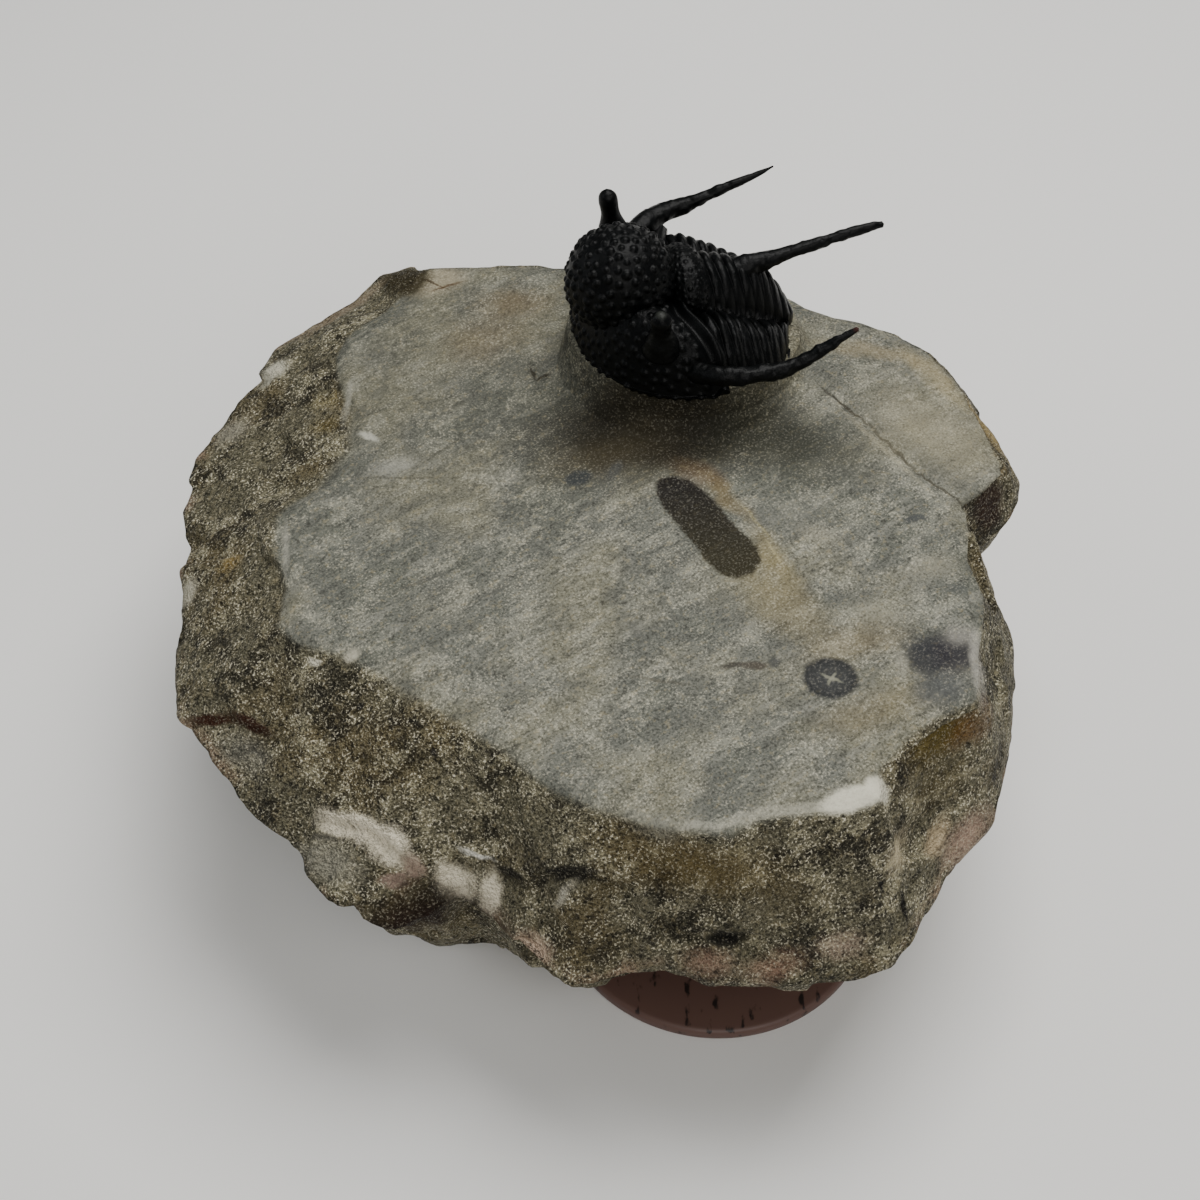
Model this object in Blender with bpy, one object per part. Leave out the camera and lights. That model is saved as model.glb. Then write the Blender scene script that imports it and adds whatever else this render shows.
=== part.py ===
"""Cyphaspis trilobite on its limestone block, the block resting on a thin wooden disc.

Three pieces: the black trilobite, prepared free in the round with its eye stalks and spines;
the broken block of limestone with the low mound that carries it; and a small turned disc.
The block's front lies on the disc and its back rests on its own underside.

Frame: origin at the centre of the disc's underside, +X to the viewer's right, +Y to the back
of the block, +Z up. Sizes below are in millimetres, and make_piece turns them to metres.
"""

import math

import bmesh
import bpy
import numpy as np

MILLIMETRE = 0.001
CONTACT_GAP = 0.3

# The disc, and the height of the block's prepared top above the surface that it stands on
DISC_RADIUS = 12.8
DISC_THICKNESS = 1.2
DISC_EDGE = 0.3
DISC_SIDES = 64
TOP_HEIGHT = 27.5

# The block: a polar shape about its own middle, in degrees from +X and millimetres
BLOCK_MIDDLE = (-9.2, 15.7)
BLOCK_BEARINGS = 104
TOP_RINGS = (0.28, 0.55, 0.8)
SLOPE_RINGS = (0.35, 0.7)
SLOPE_CURVE = 1.25
SHOULDER_DROP = 0.3
SHOULDER_INSET = 0.6
FLANK_RINGS = ((0.12, 0.14), (0.28, 0.38), (0.52, 0.68), (0.82, 0.92))
FOOT_REACH = 20.5
FOOT_WANDER = 0.9
FOOT_RINGS = (0.68, 0.36)

# Widest outline of the block: bearing, reach, and height below the prepared top
RIM = (
    (0, 31.5, 9.0), (3, 30.0, 7.6), (5, 29.0, 6.4), (7, 31.4, 5.2), (10, 33.8, 4.0),
    (14, 34.8, 3.7), (19, 35.0, 3.3), (24, 34.5, 2.9), (29, 34.6, 2.6), (35, 35.2, 2.4),
    (38, 34.3, 2.4), (42, 34.4, 2.3), (46, 33.0, 2.3), (51, 31.6, 2.2), (58, 31.0, 2.1),
    (64, 31.6, 2.0), (72, 32.4, 2.0), (81, 32.4, 2.0), (89, 31.6, 2.0), (95, 31.3, 2.0),
    (100, 32.5, 2.0), (107, 32.5, 2.2), (113, 34.4, 2.3), (116, 36.9, 2.4), (121, 37.0, 2.5),
    (126, 36.1, 2.8), (133, 36.2, 3.2), (139, 36.3, 3.5), (143, 35.6, 3.8), (149, 35.2, 4.1),
    (154, 34.8, 4.4), (159, 35.1, 4.7), (165, 34.3, 5.0), (169, 34.0, 5.1), (174, 32.9, 5.2),
    (183, 32.0, 5.5), (191, 32.9, 5.9), (202, 33.9, 6.5), (207, 33.1, 7.0), (211, 32.9, 7.3),
    (218, 32.6, 8.0), (225, 31.9, 8.4), (231, 33.0, 8.7), (235, 33.6, 8.9), (240, 31.6, 9.2),
    (245, 29.0, 9.5), (250, 28.4, 9.7), (255, 29.2, 10.0), (261, 31.4, 10.2), (266, 33.3, 10.4),
    (269, 33.1, 10.5), (273, 32.2, 10.6), (278, 32.1, 10.7), (284, 33.9, 10.8), (290, 34.9, 10.9),
    (296, 36.2, 11.0), (303, 37.5, 10.8), (307, 36.8, 10.8), (310, 35.9, 10.7), (318, 34.7, 10.5),
    (326, 35.1, 10.2), (333, 34.1, 9.9), (341, 33.2, 9.6), (350, 32.8, 9.3), (355, 32.5, 9.1),
)
# Edge of the smooth prepared top: bearing, reach
SHOULDER = (
    (3, 28.1), (6, 28.3), (11, 32.0), (17, 32.3), (24, 32.6), (30, 33.4), (38, 33.6), (46, 32.3),
    (58, 30.4), (72, 31.8), (81, 31.8), (95, 30.7), (107, 31.9), (116, 34.0), (120, 32.0),
    (126, 30.7), (134, 30.1), (138, 29.0), (142, 26.8), (147, 23.5), (156, 21.2), (167, 21.9),
    (176, 24.6), (182, 24.5), (193, 23.8), (201, 25.1), (206, 24.4), (213, 21.6), (221, 20.6),
    (233, 20.1), (243, 20.4), (252, 21.3), (262, 23.8), (271, 25.5), (279, 27.2), (288, 28.8),
    (292, 27.9), (298, 28.9), (304, 30.5), (308, 31.2), (311, 29.3), (318, 28.8), (324, 29.6),
    (329, 31.2), (336, 30.0), (347, 29.1), (354, 27.8),
)
# A lump of the underside that shows below the front-left edge: bearing, half width, how far out
LUMP_BEARING = 243.5
LUMP_WIDTH = 5.0
LUMP_REACH = (3.6, 3.6, 1.6, 0.0)
# Flake scars on the flanks and on the upper slope: how many, and their radii, depths and places
SCAR_SEED = 11
SCAR_REACH = (26.0, 35.0)
FLANK_SCARS = 26
FLANK_SCAR_RADIUS = (4.5, 9.5)
FLANK_SCAR_DEPTH = (0.9, 2.3)
FLANK_SCAR_FALL = (6.0, 24.0)
SLOPE_SCARS = 22
SLOPE_SCAR_RADIUS = (2.4, 4.6)
SLOPE_SCAR_DEPTH = (0.35, 0.8)
SLOPE_SCAR_FALL = (0.5, 8.0)
# The underside steps down from the disc's top to the surface, between these distances from its axis
RECESS_INNER = 15.5
RECESS_OUTER = 22.0

# The mound of rock left under the fossil: half sizes of its top, its dished middle, and the flare
# down its sides, most of it on the side that faces the block's middle
MOUND_MIDDLE_X = -0.4
MOUND_HALF_SIZES = (9.5, 8.7)
MOUND_HOLLOW = (-5.5, 0.35)
MOUND_SIDES = 40
MOUND_FLARE = ((0.35, 0.25), (0.75, 0.5), (1.7, 0.78), (3.2, 0.94), (5.0, 1.0))
MOUND_SINK = 0.8
MOUND_FAR_FLARE = 0.1
MOUND_FLARE_CURVE = 0.8

# The trilobite's own frame: x to its tail, y to its right, z up; origin between the genal angles
FOSSIL_PLACE = (-1.95, 35.75, 33.0)
FOSSIL_HEADING = 15.5
TAIL_X = 8.9
# Height of the surface on which the fossil ends and the rock begins, along the body
BASE_LINE = ((-10.0, -2.15), (1.0, -2.15), (8.9, -3.8))
BASE_INSET = 0.94
LEAST_DEPTH = 0.25

# Head shield: its outline, its vaulted cheeks and the raised border along its back edge
HEAD_LENGTH = 9.6
HEAD_HALF_WIDTH = 9.4
HEAD_ROUNDNESS = 2.1
HEAD_BORDER_HEIGHT = -1.9
CHEEK_RISE = 5.9
CHEEK_STEEPNESS = 8.0
BACK_EDGE = ((3.8, -1.1), (8.0, 0.5))
BACK_STEP = 0.9
BACK_STEP_RISE = 9.0
BORDER_RIDGE = (0.5, 0.45)
BORDER_RIDGE_SETBACK = 0.1
GLABELLA_CENTRE = (-5.9, 0.03, 3.44)
GLABELLA_RADII = (4.3, 4.1, 4.4)
TUBERCLE_HEIGHT = 0.2
CHEEK_TUBERCLE_HEIGHT = 0.16
OCCIPITAL_CENTRE = (0.4, 0.05, 1.7)
OCCIPITAL_RADII = (3.05, 3.4, 1.1)
OCCIPITAL_STEPS = 9
EYE_FOOT = (-4.5, 6.9, 2.4)
EYE_TIP = (-4.85, 7.65, 6.05)
EYE_RADII = (1.5, 1.05, 0.74, 0.78, 0.8, 0.55)
EYE_STEPS = (0.0, 0.2, 0.42, 0.66, 0.86, 0.97)
EYE_SIDES = 12

# Thorax and tail: the raised axis between its two side lobes, and the ribs across all three
AXIS_HALF_WIDTH = (3.05, 2.0)
AXIS_TAPER = 1.5
PLEURA_HALF_WIDTH = 8.2
PLEURA_END_X = 7.9
PLEURA_FULLNESS = 4
PLEURA_RISE = 0.95
PLEURA_DROOP = 2.3
TAIL_HALF_WIDTH = 2.3
TAIL_START_X = 6.3
TAIL_BLUNTNESS = 0.93
RING_COUNT = 9
RING_START_X = 0.9
RING_RELIEF = 0.3
RING_LEVEL = 0.6
RING_RAKE = 0.09
# Height of the thorax along its middle and along the furrow beside it: x, crest, furrow
THORAX_LINE = (
    (0.8, 3.9, 1.2), (1.7, 3.6, 0.8), (2.9, 3.3, 0.0), (4.3, 2.8, -0.8), (5.6, 2.2, -1.4),
    (6.8, 0.9, -2.2), (7.8, -0.8, -3.0), (8.5, -2.3, -3.3), (8.9, -3.5, -3.5),
)
# Sections across the body: how many of the head, the neck and the thorax, and points on each
HEAD_SECTIONS = 11
NECK_SECTIONS = 6
NECK_REACH = (-1.7, 0.3)
THORAX_SECTIONS = 26
THORAX_FIRST_X = 0.65
THORAX_LAST_GAP = 0.15
SECTION_POINTS = 27
SECTION_SPREAD = 0.97
SECTION_BASE = (1.0, 0.75, 0.25, -0.25, -0.75, -1.0)

# Spines: root, points on the way and tip, with a radius at each
LEFT_GENAL_SPINE = (
    ((-1.8, -8.8, 0.5), 1.0), ((-0.2, -9.8, 0.6), 0.86), ((2.5, -10.1, 0.3), 0.72),
    ((4.2, -10.1, 0.3), 0.66), ((5.8, -10.1, 0.75), 0.54), ((7.4, -10.1, 1.5), 0.46),
    ((8.9, -10.1, 2.4), 0.35), ((10.3, -10.1, 3.1), 0.19),
)
RIGHT_GENAL_SPINE = (
    ((-1.6, 8.8, 0.5), 1.05), ((0.3, 9.9, 0.7), 0.9), ((2.2, 10.1, 0.95), 0.7),
    ((3.9, 10.1, 1.45), 0.54), ((5.7, 10.1, 2.05), 0.44), ((7.4, 10.1, 2.55), 0.33),
    ((9.1, 10.1, 3.05), 0.21), ((10.2, 10.1, 3.5), 0.08),
)
AXIAL_SPINE = (
    ((3.9, 0.0, 2.0), 1.15), ((5.1, 0.0, 2.45), 0.92), ((6.6, 0.0, 2.65), 0.68),
    ((8.3, 0.0, 3.0), 0.56), ((10.8, 0.0, 3.45), 0.5), ((13.3, 0.0, 3.8), 0.44),
    ((15.0, 0.0, 4.05), 0.36), ((16.0, 0.0, 4.1), 0.28),
)
SPINE_SIDES = 10
SPINE_STEPS = 14
TUBE_ROOT = 0.4
TUBE_TIP = 0.6
FORWARD = (1.0, 0.03, 0.02)
UPWARD = (0.02, 0.03, 1.0)

MATERIALS = {
    "trilobite": ((0.018, 0.019, 0.022), 0.55),
    "limestone_block": ((0.17, 0.165, 0.14), 0.85),
    "wooden_disc": ((0.13, 0.07, 0.05), 0.6),
}


def make_material(name):
    """Principled material with the piece's own colour and roughness."""
    colour, roughness = MATERIALS[name]
    material = bpy.data.materials.new(name)
    material.use_nodes = True
    shader = material.node_tree.nodes["Principled BSDF"]
    shader.inputs["Base Color"].default_value = (*colour, 1.0)
    shader.inputs["Roughness"].default_value = roughness
    shader.inputs["Metallic"].default_value = 0.0
    return material


def make_piece(name, points, faces, parent=None):
    """Object from points in millimetres and faces, its sides turned to point outwards."""
    mesh = bpy.data.meshes.new(name)
    mesh.from_pydata((np.asarray(points) * MILLIMETRE).tolist(), [], faces)
    shape = bmesh.new()
    shape.from_mesh(mesh)
    bmesh.ops.recalc_face_normals(shape, faces=shape.faces)
    shape.to_mesh(mesh)
    shape.free()
    piece = bpy.data.objects.new(name, mesh)
    bpy.context.scene.collection.objects.link(piece)
    piece.parent = parent
    return piece


def ring_faces(ring_count, ring_size):
    """Faces of closed rings stacked in order, closed by a fan to one pole at each end.

    Point 0 is the first pole, then the rings, and the last point is the other pole.
    """
    faces = []
    last_ring = 1 + (ring_count - 1) * ring_size
    end_pole = 1 + ring_count * ring_size
    for side in range(ring_size):
        other = (side + 1) % ring_size
        faces.append((0, 1 + other, 1 + side))
        faces.append((end_pole, last_ring + side, last_ring + other))
        for ring in range(ring_count - 1):
            near = 1 + ring * ring_size
            far = near + ring_size
            faces.append((near + side, near + other, far + other, far + side))
    return faces


def stacked(name, rings, first_pole, last_pole, parent=None):
    """Closed solid from a list of rings with as many points each, and a pole at either end."""
    rings = np.asarray(rings)
    points = np.vstack([[first_pole], rings.reshape(-1, 3), [last_pole]])
    return make_piece(name, points, ring_faces(len(rings), rings.shape[1]), parent)


def join_into(body, forms):
    """Fuse other forms into a body with live Boolean unions, and hide them."""
    for form in forms:
        union = body.modifiers.new("join_" + form.name, "BOOLEAN")
        union.operation = "UNION"
        union.solver = "EXACT"
        union.object = form
        form.hide_render = True
        form.display_type = "WIRE"


def by_bearing(table, column, bearings):
    """Read a column of a bearing table at the given bearings, in straight steps round the circle."""
    table = np.array(table, dtype=float)
    return np.interp(bearings, table[:, 0], table[:, column], period=360.0)


def underside_height(x, y):
    """Height of the block's underside: on the disc in front, on the surface behind."""
    on_disc = DISC_THICKNESS + CONTACT_GAP
    distance = np.hypot(x, y)
    step = np.clip((distance - RECESS_INNER) / (RECESS_OUTER - RECESS_INNER), 0.0, 1.0)
    return on_disc * (1.0 - step * step * (3.0 - 2.0 * step))


def scar_depth(points, chance, count, radii, depths, falls):
    """Deepest of several round flake scars at each point: depth * (1 - distance^2 / radius^2)."""
    dent = np.zeros(points.shape[:-1])
    for _ in range(count):
        bearing = math.radians(chance.uniform(0, 360))
        reach = chance.uniform(*SCAR_REACH)
        centre = np.array([
            BLOCK_MIDDLE[0] + reach * math.cos(bearing),
            BLOCK_MIDDLE[1] + reach * math.sin(bearing),
            TOP_HEIGHT - chance.uniform(*falls),
        ])
        radius = chance.uniform(*radii)
        depth = chance.uniform(*depths)
        squared = ((points - centre) ** 2).sum(axis=-1)
        dent = np.maximum(dent, depth * (1.0 - squared / radius ** 2))
    return dent


def build_block():
    """Broken block: flat prepared top, rough slope to the rim, and a flank running in to its foot."""
    bearings = (np.arange(BLOCK_BEARINGS) + 0.5) * 360.0 / BLOCK_BEARINGS
    angle = np.radians(bearings)
    rim = by_bearing(RIM, 1, bearings)
    rim_height = TOP_HEIGHT - by_bearing(RIM, 2, bearings)
    shoulder = np.minimum(by_bearing(SHOULDER, 1, bearings), rim - SHOULDER_INSET)
    foot = FOOT_REACH + FOOT_WANDER * (np.sin(3 * angle + 1.0) + 0.5 * np.sin(7 * angle))
    lump = np.exp(-(((bearings - LUMP_BEARING) / LUMP_WIDTH) ** 2))
    chance = np.random.default_rng(SCAR_SEED)

    def ring(reach, height):
        x = BLOCK_MIDDLE[0] + reach * np.cos(angle)
        y = BLOCK_MIDDLE[1] + reach * np.sin(angle)
        return np.stack([x, y, np.broadcast_to(height, x.shape)], axis=-1)

    top = [ring(part * shoulder, TOP_HEIGHT) for part in TOP_RINGS]
    shoulder_height = TOP_HEIGHT - SHOULDER_DROP
    edge = [ring(shoulder, shoulder_height)]
    slope = []
    for part in SLOPE_RINGS:
        height = shoulder_height + (rim_height - shoulder_height) * part ** SLOPE_CURVE
        slope.append(ring(shoulder + (rim - shoulder) * part, height))
    slope = np.array(slope)
    slope_scars = (SLOPE_SCARS, SLOPE_SCAR_RADIUS, SLOPE_SCAR_DEPTH, SLOPE_SCAR_FALL)
    slope[..., 2] -= scar_depth(slope, chance, *slope_scars)

    ground = ring(foot, 0.0)
    foot_height = underside_height(ground[:, 0], ground[:, 1])
    flank = []
    for (inward, downward), lump_reach in zip(FLANK_RINGS, LUMP_REACH):
        reach = rim + (foot - rim) * inward + lump_reach * lump
        flank.append(ring(reach, rim_height + (foot_height - rim_height) * downward))
    flank = np.array(flank)
    flank_scars = (FLANK_SCARS, FLANK_SCAR_RADIUS, FLANK_SCAR_DEPTH, FLANK_SCAR_FALL)
    dent = scar_depth(flank, chance, *flank_scars)
    flank[..., 0] -= dent * np.cos(angle)
    flank[..., 1] -= dent * np.sin(angle)

    under = [ring(foot, foot_height)]
    for part in FOOT_RINGS:
        inner = ring(foot * part, 0.0)
        inner[:, 2] = underside_height(inner[:, 0], inner[:, 1])
        under.append(inner)
    rings = [*top, *edge, *slope, ring(rim, rim_height), *flank, *under]
    middle_height = float(underside_height(*BLOCK_MIDDLE))
    block = stacked(
        "limestone_block", rings, (*BLOCK_MIDDLE, TOP_HEIGHT), (*BLOCK_MIDDLE, middle_height)
    )
    block.data.materials.append(make_material("limestone_block"))
    return block


def base_height(x):
    """Height at which the fossil ends and the rock begins, at a place along the body."""
    line = np.array(BASE_LINE)
    return np.interp(x, line[:, 0], line[:, 1])


def build_mound(parent):
    """Mound of rock under the fossil: a sloping dished top, and sides that flare out to the block."""
    angle = np.arange(MOUND_SIDES) * 2 * math.pi / MOUND_SIDES
    foot = TOP_HEIGHT - MOUND_SINK - FOSSIL_PLACE[2]
    facing = ((1.0 - np.sin(angle)) / 2.0) ** MOUND_FLARE_CURVE
    near_side = MOUND_FAR_FLARE + (1.0 - MOUND_FAR_FLARE) * facing

    def ring(outward, downward):
        spread = outward * near_side if outward > 0 else outward
        x = MOUND_MIDDLE_X + (MOUND_HALF_SIZES[0] + spread) * np.cos(angle)
        y = (MOUND_HALF_SIZES[1] + spread) * np.sin(angle)
        top = base_height(x) - CONTACT_GAP
        return np.stack([x, y, top + (foot - top) * downward], axis=-1)

    hollow = ring(MOUND_HOLLOW[0], 0.0)
    hollow[:, 2] -= MOUND_HOLLOW[1]
    rings = [hollow, ring(0.0, 0.0)] + [ring(*flare) for flare in MOUND_FLARE]
    top_pole = (MOUND_MIDDLE_X, 0.0, base_height(MOUND_MIDDLE_X) - CONTACT_GAP - MOUND_HOLLOW[1])
    foot_pole = (MOUND_MIDDLE_X, 0.0, foot)
    return stacked("mound", rings, top_pole, foot_pole, parent)


def smooth_path(knots, count):
    """Points and radii on a smooth curve through knots of ((x, y, z), radius)."""
    values = np.array([[*point, radius] for point, radius in knots])
    last = len(values) - 1
    padded = np.vstack([2 * values[0] - values[1], values, 2 * values[last] - values[last - 1]])
    result = []
    for place in np.linspace(0, last, count):
        index = min(int(place), last - 1)
        t = place - index
        a, b, c, d = padded[index:index + 4]
        result.append(0.5 * (2 * b + (c - a) * t + (2 * a - 5 * b + 4 * c - d) * t ** 2
                             + (3 * b - a - 3 * c + d) * t ** 3))
    return np.array(result)


def tapered_tube(name, path, sides, parent, side_hint):
    """Round solid carried along a path of (x, y, z, radius), with a low point at each end.

    The hint is a direction that the path never follows, from which its sections are squared up.
    """
    centres = path[:, :3]
    radii = path[:, 3]
    along = np.gradient(centres, axis=0)
    along /= np.linalg.norm(along, axis=1)[:, None]
    across = np.cross(along, side_hint)
    across /= np.linalg.norm(across, axis=1)[:, None]
    upward = np.cross(across, along)
    turn = np.arange(sides)[:, None] * 2 * math.pi / sides
    rings = []
    for centre, radius, side_way, up_way in zip(centres, radii, across, upward):
        rings.append(centre + radius * (np.cos(turn) * side_way + np.sin(turn) * up_way))
    first = centres[0] - along[0] * radii[0] * TUBE_ROOT
    last = centres[-1] + along[-1] * radii[-1] * TUBE_TIP
    return stacked(name, rings, first, last, parent)


def axis_half_width(x):
    """Half width of the raised middle lobe, narrowing to the tail."""
    part = np.clip(x / TAIL_X, 0.0, 1.0)
    return AXIS_HALF_WIDTH[0] + (AXIS_HALF_WIDTH[1] - AXIS_HALF_WIDTH[0]) * part ** AXIS_TAPER


def body_half_width(x):
    """Half width of the whole body: a round head shield, then side lobes that close at the tail."""
    forward = np.clip(-x / HEAD_LENGTH, 0.0, 1.0)
    head = HEAD_HALF_WIDTH * np.sqrt(np.clip(1.0 - forward ** HEAD_ROUNDNESS, 0.0, 1.0))
    backward = np.clip(x / PLEURA_END_X, 0.0, 1.0)
    pleurae = PLEURA_HALF_WIDTH * np.sqrt(1.0 - backward ** PLEURA_FULLNESS)
    tailward = np.clip((x - TAIL_START_X) / (TAIL_X - TAIL_START_X), 0.0, TAIL_BLUNTNESS)
    tail = TAIL_HALF_WIDTH * np.sqrt(1.0 - tailward ** 2)
    return np.where(x <= 0.0, head, np.maximum(pleurae, tail))


def thorax_height(x, side):
    """Height of the thorax: an arched axis, side lobes that droop at their ends, and ribs on both."""
    line = np.array(THORAX_LINE)
    crest = np.interp(x, line[:, 0], line[:, 1])
    furrow = np.interp(x, line[:, 0], line[:, 2])
    half_axis = axis_half_width(x)
    lobe_width = np.maximum(body_half_width(x) - half_axis, 0.5)
    arch = np.sqrt(np.clip(1.0 - (side / half_axis) ** 2, 0.0, 1.0))
    outward = np.clip((side - half_axis) / lobe_width, 0.0, 1.0)
    pleura = furrow + PLEURA_RISE * np.sin(math.pi * outward) - PLEURA_DROOP * outward ** 3
    phase = (x - RING_START_X - RING_RAKE * side) * RING_COUNT / (TAIL_X - RING_START_X)
    rib = RING_RELIEF * (np.abs(np.sin(math.pi * phase)) - RING_LEVEL)
    return np.where(side < half_axis, furrow + (crest - furrow) * arch, pleura) + rib


def cheek_height(x, side, back_edge):
    """Height of the head shield: steep-sided cheeks, with a ridge along the shield's back edge."""
    forward = np.clip(-x / HEAD_LENGTH, 0, 1)
    radius = np.clip(np.sqrt(forward ** 2 + (side / HEAD_HALF_WIDTH) ** 2), 0, 1)
    cheek = HEAD_BORDER_HEIGHT + CHEEK_RISE * (1.0 - radius ** CHEEK_STEEPNESS)
    ridge_height, ridge_width = BORDER_RIDGE
    beside = (x - back_edge + BORDER_RIDGE_SETBACK) / ridge_width
    return cheek + ridge_height * np.exp(-(beside ** 2))


def dorsal_height(x, y):
    """Height of the back: the cheeks up to the shield's back edge, and the thorax behind it."""
    side = np.abs(y)
    (inner_side, inner_x), (outer_side, outer_x) = BACK_EDGE
    back_edge = np.interp(side, (inner_side, outer_side), (inner_x, outer_x))
    behind = np.clip((x - back_edge) / BACK_STEP, 0.0, 1.0)
    cheek = cheek_height(x, side, back_edge)
    thorax = np.minimum(thorax_height(x, side), cheek + BACK_STEP_RISE * behind)
    return cheek * (1.0 - behind) + thorax * behind


def build_shell(parent):
    """Head shield, thorax and tail as closed sections across the body, on the fossil's flat base."""
    head_x = -HEAD_LENGTH * np.cos(np.linspace(0.12, 1.36, HEAD_SECTIONS))
    neck_x = np.linspace(*NECK_REACH, NECK_SECTIONS)
    thorax_x = np.linspace(THORAX_FIRST_X, TAIL_X - THORAX_LAST_GAP, THORAX_SECTIONS)
    spread = SECTION_SPREAD * math.pi / 2
    across = np.sin(np.linspace(-spread, spread, SECTION_POINTS)) / math.sin(spread)
    below = np.array(SECTION_BASE)
    rings = []
    for number, x in enumerate([*head_x, *neck_x, *thorax_x]):
        width = float(body_half_width(np.array(x)))
        y = across * width
        z = dorsal_height(np.full_like(y, x), y)
        if x < NECK_REACH[0]:
            alternate = (np.arange(len(y)) + number) % 2
            z[1:-1] += CHEEK_TUBERCLE_HEIGHT * alternate[1:-1]
        base = base_height(x)
        z = np.maximum(z, base + LEAST_DEPTH)
        top = np.stack([np.full_like(y, x), y, z], axis=-1)
        low_y = width * BASE_INSET * below
        low = np.stack([np.full_like(low_y, x), low_y, np.full_like(low_y, base)], axis=-1)
        rings.append(np.vstack([top, low]))
    nose = (-HEAD_LENGTH - 0.05, 0.0, base_height(-HEAD_LENGTH) + 0.4)
    tail = (TAIL_X, 0.0, base_height(TAIL_X) + 0.2)
    return stacked("trilobite", rings, nose, tail, parent)


def build_glabella(parent):
    """Swollen middle of the head: a ball with a tubercle at every point of a coarser ball."""
    ball = bmesh.new()
    bmesh.ops.create_icosphere(ball, subdivisions=3, radius=1.0)
    knobs = {tuple(round(value, 4) for value in vertex.co) for vertex in ball.verts}
    ball.free()
    ball = bmesh.new()
    bmesh.ops.create_icosphere(ball, subdivisions=4, radius=1.0)
    for vertex in ball.verts:
        raised = tuple(round(value, 4) for value in vertex.co) in knobs
        lift = 1.0 + (TUBERCLE_HEIGHT / GLABELLA_RADII[1] if raised else 0.0)
        for axis in range(3):
            stretched = vertex.co[axis] * lift * GLABELLA_RADII[axis] + GLABELLA_CENTRE[axis]
            vertex.co[axis] = stretched * MILLIMETRE
    mesh = bpy.data.meshes.new("glabella")
    ball.to_mesh(mesh)
    ball.free()
    piece = bpy.data.objects.new("glabella", mesh)
    bpy.context.scene.collection.objects.link(piece)
    piece.parent = parent
    return piece


def build_eye(name, side, parent):
    """Eye on its short stalk: a knob that widens again below its round top."""
    foot = np.array(EYE_FOOT) * (1, side, 1)
    tip = np.array(EYE_TIP) * (1, side, 1)
    rows = [[*(foot + (tip - foot) * step), radius] for step, radius in zip(EYE_STEPS, EYE_RADII)]
    return tapered_tube(name, np.array(rows), EYE_SIDES, parent, FORWARD)


def build_occipital_ring(parent):
    """Last ring of the head, arched over the axis: a flattened ball sunk in the shell."""
    height, half_width, half_length = OCCIPITAL_RADII
    turn = np.arange(2 * OCCIPITAL_STEPS) * math.pi / OCCIPITAL_STEPS
    rings = []
    for level in np.linspace(-math.pi / 2, math.pi / 2, OCCIPITAL_STEPS + 2)[1:-1]:
        x = np.full_like(turn, OCCIPITAL_CENTRE[0] + half_length * math.sin(level))
        y = OCCIPITAL_CENTRE[1] + half_width * math.cos(level) * np.cos(turn)
        z = OCCIPITAL_CENTRE[2] + height * math.cos(level) * np.sin(turn)
        rings.append(np.stack([x, y, z], axis=-1))
    x, y, z = OCCIPITAL_CENTRE
    return stacked("occipital_ring", rings, (x - half_length, y, z), (x + half_length, y, z), parent)


def build_trilobite(parent):
    """Fuse the shell, spines, glabella, eyes and occipital ring into the one fossil."""
    shell = build_shell(parent)
    spines = (
        ("left_genal_spine", LEFT_GENAL_SPINE),
        ("right_genal_spine", RIGHT_GENAL_SPINE),
        ("axial_spine", AXIAL_SPINE),
    )
    forms = []
    for name, knots in spines:
        forms.append(tapered_tube(name, smooth_path(knots, SPINE_STEPS), SPINE_SIDES, parent, UPWARD))
    forms.append(build_glabella(parent))
    forms.append(build_eye("right_eye", 1, parent))
    forms.append(build_eye("left_eye", -1, parent))
    forms.append(build_occipital_ring(parent))
    join_into(shell, forms)
    shell.data.materials.append(make_material("trilobite"))
    return shell


def build_disc():
    """Thin turned disc with a small bevel round both edges."""
    profile = (
        (DISC_RADIUS - DISC_EDGE, 0.0),
        (DISC_RADIUS, DISC_EDGE),
        (DISC_RADIUS, DISC_THICKNESS - DISC_EDGE),
        (DISC_RADIUS - DISC_EDGE, DISC_THICKNESS),
    )
    angle = np.arange(DISC_SIDES) * 2 * math.pi / DISC_SIDES
    rings = [
        np.stack([reach * np.cos(angle), reach * np.sin(angle), np.full_like(angle, height)], axis=-1)
        for reach, height in profile
    ]
    disc = stacked("wooden_disc", rings, (0.0, 0.0, 0.0), (0.0, 0.0, DISC_THICKNESS))
    disc.data.materials.append(make_material("wooden_disc"))
    return disc


def build_all():
    """Clear the scene, place the fossil's frame, and build the three pieces."""
    for old in list(bpy.data.objects):
        bpy.data.objects.remove(old, do_unlink=True)
    place = bpy.data.objects.new("fossil_place", None)
    place.location = [value * MILLIMETRE for value in FOSSIL_PLACE]
    place.rotation_euler = (0.0, 0.0, math.radians(FOSSIL_HEADING))
    bpy.context.scene.collection.objects.link(place)
    build_disc()
    block = build_block()
    join_into(block, [build_mound(place)])
    build_trilobite(place)


build_all()
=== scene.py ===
"""Looks of a Cyphaspis trilobite on its limestone block, with the block resting on a wooden disc.

Sizes are in millimetres until a mesh is made. The frame's origin is the centre of the disc's
underside, +X to the viewer's right, +Y to the back of the block, +Z up.
"""

import math

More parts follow.
